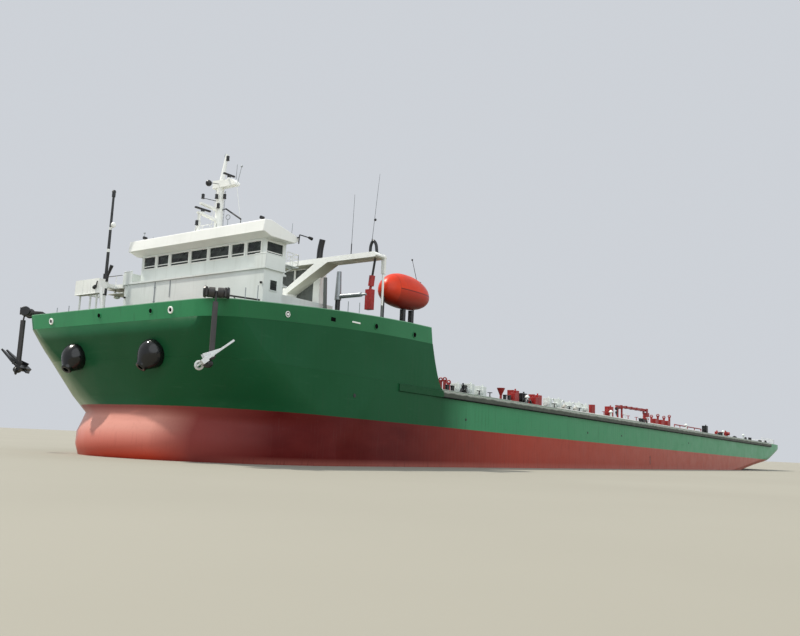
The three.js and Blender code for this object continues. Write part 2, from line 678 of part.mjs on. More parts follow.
function placeAnchor(geometry, side, turn) {
  return geometry.rotateZ(turn).translate(ANCHOR.x, side * ANCHOR.y, ANCHOR.pin);
}

function anchorShank(side, turn) {
  const length = ANCHOR.top - ANCHOR.pin;
  const shank = box(-0.17, 0.17, -0.12, 0.12, 0.02, length);
  const eye = rod([0, -0.16, 0], [0, 0.16, 0], 0.26, 16);
  const bore = rod([0, -0.5, 0], [0, 0.5, 0], PIN_RADIUS + GAP, 16);
  const reach = (AXLE_RADIUS + GAP + 0.07) * Math.SQRT1_2;
  const link = rod([ANCHOR.x, side * ANCHOR.y, ANCHOR.top - 0.1],
    [ROLLER.x + reach, side * (ROLLER.y + reach), ROLLER.z], 0.07, 8);
  return join(placeAnchor(cut(join(shank, eye), bore), side, turn), link);
}

// At rest the head lies over on its stop: two broad thin blades either side of the shank, a crown bar
// below the pin and an eye for the tripping line.
function anchorFlukes(side, turn) {
  const pin = rod([0, -0.8, 0], [0, 0.8, 0], PIN_RADIUS, 16);
  const blades = bothSides(() => profileYZ(
    [[0.2, -0.5], [0.85, -0.5], [0.8, 0.3], [0.42, 1.75], [0.3, 1.75], [0.2, 1.0]], -0.07, 0.07));
  const webs = bothSides(() => profileXZ([[0, -0.5], [0.45, -0.45], [0, 0.9]], 0.45, 0.55));
  const crown = box(-0.17, 0.17, -0.85, 0.85, -0.8, -0.36);
  const eye = cut(box(-0.06, 0.06, -0.25, 0.25, -1.15, -0.7), rod([-1, 0, -0.95], [1, 0, -0.95], 0.09, 12));
  const head = join(pin, ...blades, ...webs, crown, eye).rotateY(-FLUKE_TILT);
  return placeAnchor(head, side, turn);
}

// Bell-mouthed hawse bolsters on the bow plating, pointing forward and down.
const BELL_PROFILE = [
  [0, -0.7], [0.37, -0.65], [0.74, -0.51], [0.99, -0.24], [1.065, 0], [1.05, 0.33], [0.97, 0.61], [0.82, 0.88],
  [0.64, 1.11], [0.5, 1.29], [0.41, 1.43], [0.41, 1.55], [0.35, 1.6], [0.22, 1.57], [0.2, 0.9], [0, 0.9],
];

function hawseBell(bow, forecastle) {
  const shape = new THREE.LatheGeometry(BELL_PROFILE.map(([r, h]) => new THREE.Vector2(r, h)), 28)
    .rotateZ(-Math.PI / 2)
    .rotateY(0.9)
    .rotateZ(-0.2)
    .translate(74.28, 4.78, 8.6);
  const moved = (solid, x, z) => solid.clone().translate(x, 0, z);
  const rest = cut(shape, bow, forecastle, moved(bow, GAP, GAP), moved(forecastle, GAP, 0), moved(forecastle, 0, -GAP));
  return mainBody(rest);
}

function windlass(forecastle) {
  const bed = box(69.4, 71.8, -3.2, 3.2, 10.5, 11.35);
  const shaft = rod([70.6, -3.9, 12.0], [70.6, 3.9, 12.0], 0.14, 12);
  const stands = [-2.9, -0.9, 0.9, 2.9].map((y) => box(70.2, 71.0, y - 0.12, y + 0.12, 11.3, 12.25));
  const gypsies = [-1.9, 1.9].map((y) => rod([70.6, y - 0.4, 12.0], [70.6, y + 0.4, 12.0], 0.55, 20));
  const warping = [-3.6, 3.6].map((y) => rod([70.6, y - 0.3, 12.0], [70.6, y + 0.3, 12.0], 0.35, 16));
  const motor = box(69.3, 70.0, -0.7, 0.7, 11.3, 12.1);
  return seatOn(join(bed, shaft, ...stands, ...gypsies, ...warping, motor), forecastle);
}

// Deck crane on the centreline, its boom lying forward on a stool.
const BOOM_TIP_X = -20.4;

function cranePedestal(deck) {
  return seatOn(join(
    rod([CRANE_X, 0, belowDeckZ(CRANE_X)], [CRANE_X, 0, 9.3], 0.5, 20),
    rod([CRANE_X, 0, belowDeckZ(CRANE_X)], [CRANE_X, 0, 7.2], 0.75, 20, 0.6),
  ), deck);
}

function craneColumn() {
  const column = rod([CRANE_X, 0, 9.3 + GAP], [CRANE_X, 0, 10.2], 0.42, 20);
  const cheeks = [-0.32, 0.32].map((y) => box(CRANE_X - 0.3, CRANE_X + 0.4, y - 0.06, y + 0.06, 10.0, BOOM_PIN_Z + 0.3));
  const bores = rod([CRANE_X, -1, BOOM_PIN_Z], [CRANE_X, 1, BOOM_PIN_Z], 0.1 + GAP, 16);
  const winch = box(CRANE_X - 0.95, CRANE_X - 0.25, -0.35, 0.35, 9.5, 10.2);
  return cut(join(column, ...cheeks, winch), bores);
}

function craneBoom() {
  const pin = rod([CRANE_X, -0.4, BOOM_PIN_Z], [CRANE_X, 0.4, BOOM_PIN_Z], 0.1, 16);
  const beam = loft([
    [CRANE_X - 0.22, 0.2, 0.19],
    [CRANE_X + 1.2, 0.2, 0.24],
    [BOOM_TIP_X, 0.12, 0.14],
  ].map(([x, half, height]) => [
    [x, -half, BOOM_PIN_Z - 0.19], [x, half, BOOM_PIN_Z - 0.19],
    [x, half, BOOM_PIN_Z + height], [x, -half, BOOM_PIN_Z + height],
  ]));
  const head = rod([BOOM_TIP_X - 0.15, -0.1, BOOM_PIN_Z - 0.25], [BOOM_TIP_X - 0.15, 0.1, BOOM_PIN_Z - 0.25], 0.22, 16);
  return join(pin, beam, head);
}

function boomRest(deck) {
  const x = BOOM_TIP_X - 1.6;
  const stool = box(x - 0.25, x + 0.25, -0.5, 0.5, BOOM_PIN_Z - 0.39, BOOM_PIN_Z - 0.19 - GAP);
  const legs = [-0.35, 0.35].map((y) =>
    box(x - 0.12, x + 0.12, y - 0.12, y + 0.12, belowDeckZ(x), BOOM_PIN_Z - 0.3));
  const foot = box(x - 0.8, x + 0.8, -0.7, 0.7, belowDeckZ(x), 7.9);
  return seatOn(join(stool, ...legs, foot), deck);
}

// Mooring winches, port and starboard, with a drum that turns between two side frames.
const WINCHES = [
  // name, x, y
  ['forward', 27.0, 8.0],
  ['aft', -50.5, 8.0],
];
const winchAxisZ = (x) => mainDeckZ(x) + 0.92;

function winchFrame(x, y, z, deck) {
  const foot = belowDeckZ(x);
  const frames = [-0.95, 0.95].map((offset) =>
    box(x - 0.55, x + 0.55, y + offset - 0.08, y + offset + 0.08, foot, z + 0.35));
  const bed = box(x - 0.8, x + 0.8, y - 1.5, y + 1.5, foot, z - 0.72);
  const motor = rod([x, y + 1.02, z], [x, y + 1.5, z], 0.3, 14);
  return seatOn(join(...frames, bed, motor), deck);
}

function winchDrum(x, y, z) {
  const core = rod([x, y - 0.87 + GAP, z], [x, y + 0.87 - GAP, z], 0.3, 16);
  const flanges = [-0.78, 0.78].map((offset) => rod([x, y + offset - 0.05, z], [x, y + offset + 0.05, z], 0.58, 20));
  return join(core, ...flanges);
}

// Cargo pipework on the main deck: two long runs on sleepers and a manifold across the ship.
function deckPipework(deck) {
  const height = (x) => mainDeckZ(x) + 0.5;
  const runs = [-1.6, 1.6].map((y) => rod([44, y, height(44)], [-18, y, height(-18)], 0.17, 10));
  const sleepers = [44, 34, 24, 4, -6, -17].map((x) =>
    box(x - 0.12, x + 0.12, -2.0, 2.0, belowDeckZ(x), height(x)));
  const crossovers = [12.5, 15.5, 18.5].map((x) => rod([x, -9.6, height(x) + 0.15], [x, 9.6, height(x) + 0.15], 0.2, 10));
  const stands = [-9.2, -5.5, 5.5, 9.2].map((y) =>
    box(11.9, 19.1, y - 0.12, y + 0.12, belowDeckZ(12), height(15) + 0.12));
  return seatOn(join(...runs, ...sleepers, ...crossovers, ...stands), deck);
}

// Assembly.

const barge = new THREE.Group();
barge.scale.setScalar(MM_PER_REAL_METRE);
barge.position.x = -ORIGIN_X * MM_PER_REAL_METRE;

function add(name, geometry, material) {
  const mesh = new THREE.Mesh(geometry, material);
  mesh.name = name;
  barge.add(mesh);
  return geometry;
}

const bow = add('hull_bow', bowBlock(), GREEN);
const midbody = add('hull_midbody', loft([
  hullSection(MIDBODY_AFT + GAP, HALF_BEAM, 0),
  hullSection(BOW_BLOCK_AFT - GAP, HALF_BEAM, 0),
]), GREEN);
const stern = add('hull_stern', loft(STERN_TABLE.map((row) => hullSection(...row))), GREEN);
const forecastle = add('forecastle', forecastleBlock(), GREEN);

const wall = bulwarkWall(forecastle);
add('bulwark_front', keepInside(wall, box(68 + GAP, 80, -20, 20, 5, 20)), LIGHT_GREEN);
add('bulwark_port', keepInside(wall, box(40, 68, 0, 20, 5, 20)), LIGHT_GREEN);
add('bulwark_starboard', keepInside(wall, box(40, 68, -20, 0, 5, 20)), LIGHT_GREEN);
SIDES.forEach(([name, side]) => add(`fender_${name}`, fender(side), DARK_GREY));

SIDES.forEach(([name, side]) => {
  add(`skeg_${name}`, onSide(skeg(stern), side), RED);
  add(`propeller_${name}`, onSide(propeller(), side), BRONZE);
  add(`rudder_${name}`, onSide(rudder(), side), RED);
});

const house = add('deckhouse', deckhouse(forecastle), WHITE);
add('bridge_deck', bridgeDeck(), WHITE);
add('wheelhouse', wheelhouse(), WHITE);
const roof = add('wheelhouse_roof', wheelhouseRoof(), WHITE);
SIDES.forEach(([name, side]) => {
  add(`wheelhouse_door_${name}`, onSide(door(DOORS.wheelhouse), side), WHITE);
  add(`deckhouse_door_${name}`, onSide(door(DOORS.deckhouse), side), WHITE);
});
add('radar_mast', radarMast(roof), WHITE);
add('radar_scanner_lower', scanner(LOWER_SCANNER), WHITE);
add('radar_scanner_upper', scanner(UPPER_SCANNER), WHITE);
add('signal_mast', signalMast(forecastle), BLACK);

add('gantry', gantry(house), WHITE);
SIDES.forEach(([name, side]) => {
  const boat = lifeboat();
  add(`exhaust_${name}`, onSide(exhausts(), side), BLACK);
  add(`lifeboat_${name}`, onSide(boat, side), ORANGE);
  add(`lifeboat_cradle_${name}`, onSide(lifeboatCradle(forecastle, boat), side), BLACK);
});
add('boat_crane_post', boatCranePost(forecastle), WHITE);
add('boat_crane_boom', boatCraneBoom(), STEEL);

const frontWall = barge.getObjectByName('bulwark_front').geometry;
SIDES.forEach(([name, side]) => {
  add(`fairlead_${name}`, onSide(fairlead([forecastle, frontWall]), side), BLACK);
  add(`roller_${name}`, onSide(roller(), side), BLACK);
  add(`hawse_bell_${name}`, onSide(hawseBell(bow, forecastle), side), BLACK);
});
ANCHORS.forEach(([name, side, turn]) => {
  add(`anchor_${name}`, anchorShank(side, turn), STEEL);
  add(`flukes_${name}`, anchorFlukes(side, turn), STEEL);
});
add('windlass', windlass(forecastle), RED);

add('crane_pedestal', cranePedestal(midbody), RED);
add('crane_column', craneColumn(), RED);
add('crane_boom', craneBoom(), RED);
add('boom_rest', boomRest(midbody), RED);
SIDES.forEach(([name, side]) => {
  WINCHES.forEach(([place, x, y]) => {
    const z = winchAxisZ(x);
    const deck = x > MIDBODY_AFT ? midbody : stern;
    add(`winch_${place}_${name}`, onSide(winchFrame(x, y, z, deck), side), RED);
    add(`winch_drum_${place}_${name}`, onSide(winchDrum(x, y, z), side), RED);
  });
});
add('deck_pipework', deckPipework(midbody), WHITE);

export default barge;
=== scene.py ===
# %% [markdown]
# # River barge, 1:10 scale model
# The CAD model holds every part with a real shape and every joint. This script gives it the looks of a
# working ship: worn two-colour hull paint, glass, rails, lamps, fittings and deck gear. The frame comes
# first, because every piece made here rides on one of its bodies.

# %% The frame
import json
import math
import bpy
import bmesh
from mathutils import Matrix, Vector

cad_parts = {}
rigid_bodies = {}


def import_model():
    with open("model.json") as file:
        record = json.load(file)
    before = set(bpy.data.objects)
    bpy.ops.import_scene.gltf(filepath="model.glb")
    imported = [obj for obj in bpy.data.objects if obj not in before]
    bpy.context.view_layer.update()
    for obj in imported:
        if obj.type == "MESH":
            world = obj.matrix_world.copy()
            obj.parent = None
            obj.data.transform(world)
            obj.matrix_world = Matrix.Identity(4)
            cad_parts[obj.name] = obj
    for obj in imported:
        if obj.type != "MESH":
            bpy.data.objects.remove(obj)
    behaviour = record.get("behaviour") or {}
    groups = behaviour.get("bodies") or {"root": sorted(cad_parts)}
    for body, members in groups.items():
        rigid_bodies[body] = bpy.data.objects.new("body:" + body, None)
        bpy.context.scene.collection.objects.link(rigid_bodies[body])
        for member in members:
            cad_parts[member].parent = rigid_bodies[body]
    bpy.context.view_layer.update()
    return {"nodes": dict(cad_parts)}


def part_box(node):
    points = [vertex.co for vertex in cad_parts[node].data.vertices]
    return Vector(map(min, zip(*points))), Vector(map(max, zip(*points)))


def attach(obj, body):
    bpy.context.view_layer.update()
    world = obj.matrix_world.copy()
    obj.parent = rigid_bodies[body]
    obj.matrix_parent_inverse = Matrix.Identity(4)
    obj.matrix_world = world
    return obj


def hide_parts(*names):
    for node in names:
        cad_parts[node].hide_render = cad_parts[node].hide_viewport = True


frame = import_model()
nodes = frame["nodes"]
scene = bpy.context.scene

# %% [markdown]
# All sizes in this lesson are metres of the real barge, because they are easy to judge: a rail is 1.1 m
# high and a door 2 m. One helper turns such a place into one on the model, which is ten times smaller.
# Finishes read the model's own coordinates instead, in metres of the model.

# %% Places on the real barge
MODEL_SCALE = 10
ORIGIN_X = -2.293
BOW = 75.0
SHEER_RUN = 23
DECK_SLOPE = 0.0135
HULL_HALF = 11.9
SIDES = {"port": 1, "starboard": -1}
X, Y, Z = 0, 1, 2


def at(x, y, z):
    return Vector(((x - ORIGIN_X) / MODEL_SCALE, y / MODEL_SCALE, z / MODEL_SCALE))


def across(side, near, far):
    """The span on one side of the ship between two distances from the centreline."""
    return sorted((side * near, side * far))


def main_deck(x):
    return 7.2 + DECK_SLOPE * x


def risen(x):
    """0 at the bow and 1 where the forecastle deck reaches its full height."""
    return min(1.0, max(0.0, (BOW - x) / SHEER_RUN))


def knuckle(x):
    return 10.75 + 1.08 * math.sin(risen(x) * math.pi / 2)


def bulwark_top(x):
    return knuckle(x) + 1.12 + 0.3 * risen(x)


print("bow deck edge", at(BOW, 0, knuckle(BOW)))
print("main deck at the crane", at(-33.5, 0, main_deck(-33.5)))

# %% [markdown]
# The camera stands low beside the port bow and looks up and aft, so the far end of the barge runs away
# to the right. Its direction is worked out from yaw, pitch and roll, and the three axes that follow
# from them are the columns of the camera's matrix.

# %% Camera
yaw = math.radians(-143.0547)
pitch = math.radians(8.4844)
roll = math.radians(2.5328)
ahead = Vector((math.cos(pitch) * math.cos(yaw), math.cos(pitch) * math.sin(yaw), math.sin(pitch)))
level = Vector((math.sin(yaw), -math.cos(yaw), 0))
above = level.cross(ahead)
right = level * math.cos(roll) + above * math.sin(roll)
up = above * math.cos(roll) - level * math.sin(roll)
camera_data = bpy.data.cameras.new("low_view")
camera_data.lens = 38.17
camera_data.sensor_width = 36
camera_data.clip_end = 500
camera = bpy.data.objects.new("low_view", camera_data)
turn = Matrix((right, up, -ahead)).transposed().to_4x4()
camera.matrix_world = Matrix.Translation((11.4179, 5.4716, 0.2817)) @ turn
scene.collection.objects.link(camera)
scene.camera = camera
print("camera looks along", tuple(round(v, 3) for v in ahead))

# %% [markdown]
# Light on a hazy day is one soft sun and a bright sky. The sun stands high to starboard, so the port
# side is in shade and gets its colour from the sky, with a weak wide light from port to help it. The
# floor lies at the waterline.

# %% Daylight and floor
WATERLINE = 0.1
scene.view_settings.view_transform = "Standard"
scene.world = bpy.data.worlds.new("haze")
scene.world.use_nodes = True
haze = scene.world.node_tree.nodes["Background"]
haze.inputs["Color"].default_value = (0.645, 0.675, 0.72, 1)
haze.inputs["Strength"].default_value = 0.95


def add_sun(name, energy, width, colour, direction):
    data = bpy.data.lights.new(name, "SUN")
    data.energy = energy
    data.angle = math.radians(width)
    data.color = colour
    lamp = bpy.data.objects.new(name, data)
    lamp.rotation_euler = Vector(direction).to_track_quat("-Z", "Y").to_euler()
    scene.collection.objects.link(lamp)


add_sun("sun", 3.8, 2, (1.0, 0.95, 0.86), (-0.224, 0.48, -0.848))
add_sun("port_glow", 1.1, 70, (0.93, 0.97, 1.0), (-0.45, -0.7, -0.55))
floor_mesh = bmesh.new()
bmesh.ops.create_grid(floor_mesh, x_segments=1, y_segments=1, size=300,
                      matrix=Matrix.Translation((0, 0, WATERLINE - 0.002)))
floor_data = bpy.data.meshes.new("studio_floor")
floor_mesh.to_mesh(floor_data)
floor_mesh.free()
floor = bpy.data.objects.new("studio_floor", floor_data)
scene.collection.objects.link(floor)
print("sun and haze set, floor at", WATERLINE)

# %% [markdown]
# Every finish starts from the same few nodes: the object's own coordinates, noise at a stated size, a
# map range that turns noise into patches with a soft edge, and a mix of two colours. A recipe wraps
# each of them in a short method, which keeps the finishes below readable. It also notes which material
# slot the finish usually stands for.

# %% Recipes for finishes
usual_slot = {}


def linear(hex_colour):
    """A colour as painters' hex, in the linear light that shaders want."""
    values = [int(hex_colour[i:i + 2], 16) / 255 for i in (0, 2, 4)]
    return tuple(v / 12.92 if v <= 0.04045 else ((v + 0.055) / 1.055) ** 2.4 for v in values) + (1.0,)


class Recipe:
    """A finish in the making: its node tree, its shader and the object's own coordinates."""

    def __init__(self, name, slot_name):
        self.finish = bpy.data.materials.new(name)
        self.finish.use_nodes = True
        self.tree = self.finish.node_tree
        self.shader = self.tree.nodes["Principled BSDF"]
        self.place = self.tree.nodes.new("ShaderNodeTexCoord").outputs["Object"]
        usual_slot[self.finish.name] = slot_name

    def plug(self, socket, value):
        """Puts a number, a colour as hex or another node's output into a socket."""
        if isinstance(value, bpy.types.NodeSocket):
            self.tree.links.new(value, socket)
        else:
            socket.default_value = linear(value) if isinstance(value, str) else value

    def noise(self, scale, stretch=(1, 1, 1), shift=(0, 0, 0), detail=4.0):
        mapping = self.tree.nodes.new("ShaderNodeMapping")
        mapping.inputs["Scale"].default_value = stretch
        mapping.inputs["Location"].default_value = shift
        self.tree.links.new(self.place, mapping.inputs["Vector"])
        texture = self.tree.nodes.new("ShaderNodeTexNoise")
        texture.inputs["Scale"].default_value = scale
        texture.inputs["Detail"].default_value = detail
        self.tree.links.new(mapping.outputs["Vector"], texture.inputs["Vector"])
        return texture.outputs["Fac"]

    def spread(self, value, low, high, start=0.0, end=1.0):
        node = self.tree.nodes.new("ShaderNodeMapRange")
        self.plug(node.inputs["Value"], value)
        for socket, number in zip(("From Min", "From Max", "To Min", "To Max"), (low, high, start, end)):
            node.inputs[socket].default_value = number
        return node.outputs["Result"]

    def patches(self, scale, low, high, start=0.0, end=1.0, **shape):
        """Noise with its values between low and high spread out, which gives patches with a soft edge."""
        return self.spread(self.noise(scale, **shape), low, high, start, end)

    def work(self, operation, first, second=0.0, third=0.0):
        node = self.tree.nodes.new("ShaderNodeMath")
        node.operation = operation
        for socket, value in zip(node.inputs, (first, second, third)):
            self.plug(socket, value)
        return node.outputs["Value"]

    def times(self, first, second):
        return self.work("MULTIPLY", first, second)

    def near(self, value, middle, inner, outer, strength):
        """A band round a value, full up to the inner distance from it and gone at the outer one."""
        distance = self.work("ABSOLUTE", self.work("SUBTRACT", value, middle))
        return self.spread(distance, inner, outer, strength, 0.0)

    def mix(self, share, first, second):
        node = self.tree.nodes.new("ShaderNodeMix")
        node.data_type = "RGBA"
        self.plug(node.inputs["Factor"], share)
        self.plug(node.inputs[6], first)
        self.plug(node.inputs[7], second)
        return node.outputs[2]

    def split(self, vector=None):
        node = self.tree.nodes.new("ShaderNodeSeparateXYZ")
        self.tree.links.new(vector or self.place, node.inputs[0])
        return node.outputs["X"], node.outputs["Y"], node.outputs["Z"]

    def facing(self, axis, low, high):
        """1 where the surface faces far enough along an axis, 0 elsewhere."""
        geometry = self.tree.nodes.new("ShaderNodeNewGeometry")
        return self.spread(self.split(geometry.outputs["Normal"])[axis], low, high)

    def relief(self, height, strength, distance):
        node = self.tree.nodes.new("ShaderNodeBump")
        node.inputs["Strength"].default_value = strength
        node.inputs["Distance"].default_value = distance
        self.tree.links.new(height, node.inputs["Height"])
        self.tree.links.new(node.outputs["Normal"], self.shader.inputs["Normal"])

    def close(self, colour, roughness, specular=0.5, metallic=0.0):
        self.plug(self.shader.inputs["Base Color"], colour)
        self.plug(self.shader.inputs["Roughness"], roughness)
        self.shader.inputs["Specular IOR Level"].default_value = specular
        self.shader.inputs["Metallic"].default_value = metallic
        return self.finish


# %% [markdown]
# Ship's paint is never one colour. It is laid on plates that have sunk a little between the frames,
# it fades in patches, and rain draws dirt and rust down from every edge. This recipe has those parts:
# a patchy base, vertical streaks, a softly uneven gloss and a fine bump. Where a shaded underside
# colour is given, faces that look down take it as painted shade.

# %% Worn ship's paint


def worn_paint(name, slot_name, colour, faded, grime, roughness=0.42, patch=6.0, streaks=0.35,
               metallic=0.0, specular=0.5, shaded_underside=None):
    paint = Recipe(name, slot_name)
    base = paint.mix(paint.patches(patch, 0.35, 0.65, detail=6.0), colour, faded)
    if shaded_underside:
        # Faces that look down take the underside colour: painted shade.
        base = paint.mix(paint.facing(Z, -0.6, -0.9), base, shaded_underside)
    runs = paint.patches(9.0, 0.56, 0.74, stretch=(3.0, 3.0, 0.28), shift=(3.1, 1.7, 0.4), detail=5.0)
    specks = paint.times(paint.patches(60.0, 0.66, 0.78), streaks * 0.8)
    dirt = paint.work("MAXIMUM", paint.times(runs, streaks), specks)
    gloss = paint.patches(14.0, 0.3, 0.7, roughness - 0.07, roughness + 0.12, shift=(5, 2, 1))
    paint.relief(paint.noise(36.0, shift=(1, 4, 2)), 0.18, 0.002)
    return paint.close(paint.mix(dirt, base, grime), gloss, specular, metallic)


white_paint = worn_paint("superstructure_white", "white_paint", "e3e8e5", "d5dbd7", "a0a398", streaks=0.2,
                         patch=2.5)
roof_white = worn_paint("roof_white", "white_paint", "f0f1ed", "e6e8e3", "aeada1", streaks=0.1, patch=2.5)
# The gantry's faces that look down are darker: painted shade.
gantry_white = worn_paint("gantry_white", "white_paint", "eff0ec", "e4e6e1", "aeada1", streaks=0.15,
                          patch=2.5, shaded_underside="9a9b8a")
# Near black for the openings stands in for the shade inside them: painted shade.
opening_black = worn_paint("opening_black", "black_paint", "070808", "0c0d0d", "17181a", roughness=0.9,
                           specular=0.05)
black_paint = worn_paint("tackle_black", "black_paint", "141517", "1f2022", "3d3a36", roughness=0.32,
                         streaks=0.3)
bell_black = worn_paint("hawse_bell_black", "black_paint", "0b0c0d", "121314", "242220", roughness=0.16,
                        streaks=0.12)
iron_brown = worn_paint("ground_tackle_iron", "black_paint", "2a2828", "353231", "1f1c1b", roughness=0.55,
                        streaks=0.4)
machine_red = worn_paint("machinery_red", "red_paint", "a32523", "8d2220", "54201b", roughness=0.4,
                         streaks=0.4)
boat_orange = worn_paint("boat_orange", "boat_orange", "e8431c", "dd4a26", "a84024", roughness=0.35,
                         streaks=0.15, patch=1.6)
galvanised = worn_paint("galvanised_steel", "steel", "8d9396", "9ba1a3", "6a5f54", roughness=0.4,
                        streaks=0.3, metallic=0.7)
bare_steel = worn_paint("anchor_fluke_steel", "steel", "cfd2d1", "bcc0bf", "8c7d6c", roughness=0.42,
                        metallic=0.3)
louvre_grey = worn_paint("louvre_grey", "steel", "696e6b", "5b605d", "3f423f", roughness=0.4, streaks=0.5)
propeller_bronze = worn_paint("propeller_bronze", "bronze", "9a7a3c", "87692f", "5c5137", roughness=0.3,
                              metallic=0.9)
pipe_grey = worn_paint("deck_pipe_grey", "white_paint", "b9bcb8", "c9c6bd", "8a6a55", roughness=0.5,
                       streaks=0.45)
capping_green = worn_paint("capping_green", "bulwark_paint", "6fa382", "82b394", "4d7a5c", roughness=0.4,
                           streaks=0.3)
print(len(usual_slot), "finishes of worn paint")

# %% [markdown]
# The hull has two colours with a straight edge between them that rises gently towards the bow. The edge
# is a plane, so comparing height with a sloped line draws it. The green of the topsides is darker on the
# forecastle as painted shade and paler aft as painted light, and a pale strip on the starboard bow is a
# painted sunlit sheen.

# %% Hull paint above the edge
PAINT_EDGE_SLOPE = 0.0129
PAINT_EDGE_HEIGHT = 0.3889
hull = Recipe("hull_green_over_red", "hull_paint")
x, y, z = hull.split()
edge = hull.work("MULTIPLY_ADD", x, PAINT_EDGE_SLOPE, PAINT_EDGE_HEIGHT)
wave = hull.patches(30.0, 0.0, 1.0, -0.002, 0.002)
is_green = hull.spread(hull.work("ADD", hull.work("SUBTRACT", z, edge), wave), -0.0012, 0.0012)
cloud = hull.patches(2.2, 0.35, 0.65, detail=6.0)
# Darker forward and paler aft is painted shade and painted light: shaded flare forward, lit side aft.
aft_painted_light = hull.spread(x, 3.5, -7.0)
lit_aft_green = hull.mix(aft_painted_light, "3c865c", "619976")
lit_aft_green = hull.mix(hull.times(cloud, 0.35), lit_aft_green, "4a8a62")
topside = hull.mix(hull.spread(x, 5.03, 4.55), hull.mix(cloud, "174f2e", "1b5333"), lit_aft_green)
runs = hull.patches(12.0, 0.57, 0.75, stretch=(4.0, 4.0, 0.22), shift=(2, 7, 1), detail=5.0)
topside = hull.mix(hull.times(runs, 0.35), topside, "2c4a33")
scuffs = hull.patches(10.0, 0.62, 0.74, stretch=(0.5, 0.5, 3.5), shift=(4, 1, 8), detail=8.0)
topside = hull.mix(hull.times(scuffs, 0.35), topside, "2f5f40")
# A pale strip on the starboard face of the bow is a painted sunlit sheen.
sunlit_bow_sheen = hull.times(hull.facing(Y, -0.03, -0.3), hull.spread(x, 6.6, 7.1, 0.0, 0.9))
topside = hull.mix(sunlit_bow_sheen, topside, "93a386")
print("topsides painted")

# %% [markdown]
# Below the edge the red is darker forward as painted shade and paler aft as painted light. The rounded
# forefoot is partly sun-bleached paint and partly painted light: paler towards its top, with painted
# shade under the paint edge and on its port part. A pale band lies just above the waterline. Decks are
# grey-green with rust breaking through. Shallow bumps across the length are the plating that has sunk
# between the frames, and thin lines at even distances are the weld seams.

# %% Hull paint below the edge and on the decks
stain = hull.patches(4.0, 0.35, 0.7, stretch=(1, 1, 2.5), detail=8.0)
# The red is darker forward as painted shade and paler aft as painted light.
lit_aft_red = hull.mix(aft_painted_light, "9e3d2e", "a76354")
boot = hull.mix(hull.spread(x, 5.6, 3.6), hull.mix(stain, "561413", "601c1a"), lit_aft_red)
dried = hull.spread(z, WATERLINE + 0.012, WATERLINE + 0.055, 0.55, 0.0)
boot = hull.mix(dried, boot, "a9655a")
# Forefoot is partly bleached, partly painted light; painted shade below the edge and on its port part.
lit_bleach_and_edge_shade = hull.mix(hull.spread(z, 0.12, 0.32), "b83c27", "c78a7d")
lit_bleach_and_edge_shade = hull.mix(hull.spread(z, 0.4, 0.47), lit_bleach_and_edge_shade, "8a4a42")
forefoot_bleach_light_and_shade = hull.mix(hull.spread(y, 0.7, 0.4), "803834", lit_bleach_and_edge_shade)
boot = hull.mix(hull.spread(x, 7.0, 7.4), boot, forefoot_bleach_light_and_shade)
drips = hull.patches(16.0, 0.56, 0.72, stretch=(5.0, 5.0, 0.3), shift=(9, 2, 3), detail=5.0)
boot = hull.mix(hull.times(drips, hull.spread(x, 7.0, 7.4, 0.5, 0.12)), boot, "5c2a27")
rust = hull.times(hull.patches(5.0, 0.5, 0.8, detail=8.0), hull.patches(34.0, 0.38, 0.6, detail=6.0))
tread = hull.patches(1.3, 0.35, 0.65, shift=(7, 3, 0), detail=6.0)
deck = hull.mix(rust, hull.mix(tread, "3a4d42", "46584d"), "6b5446")
top = hull.facing(Z, 0.93, 0.97)
gloss = hull.patches(7.0, 0.3, 0.7, 0.3, 0.44, shift=(5, 2, 1))
frames = hull.tree.nodes.new("ShaderNodeTexWave")
frames.inputs["Scale"].default_value = 5.2
frames.inputs["Distortion"].default_value = 1.2
frames.inputs["Detail"].default_value = 1.0
hull.tree.links.new(hull.place, frames.inputs["Vector"])
seam = hull.spread(hull.work("PINGPONG", x, 0.4), 0.0, 0.003, 1.0, 0.0)
sunk = hull.times(frames.outputs["Fac"], hull.patches(1.7, 0.42, 0.68, shift=(2, 2, 6), detail=5.0))
hull.relief(hull.work("MULTIPLY_ADD", seam, 0.35, sunk), 0.14, 0.004)
hull_green = hull.close(hull.mix(top, hull.mix(is_green, boot, topside), deck),
                        hull.work("MAXIMUM", gloss, hull.times(top, 0.8)), specular=0.12)
print("hull finished in", len(hull.tree.nodes), "nodes")

# %% [markdown]
# The bulwark is a lighter green than the hull. Its front is palest and the sides grow paler aft, both
# painted light. The strake along the deck edge is dark with a pale worn top edge and a black line below.
# Forward of the main deck it lies on the side of the forecastle and is painted with its darker green,
# which holds painted shade.

# %% Bulwark and strake paint
FENDER_DEPTH = 0.07
DECK_EDGE_HEIGHT = 0.7169
wall = Recipe("bulwark_green", "bulwark_paint")
x = wall.split()[X]
cloud = wall.patches(3.0, 0.35, 0.65, detail=6.0)
lit_aft_tone = wall.mix(cloud, "33774e", "3c8058")
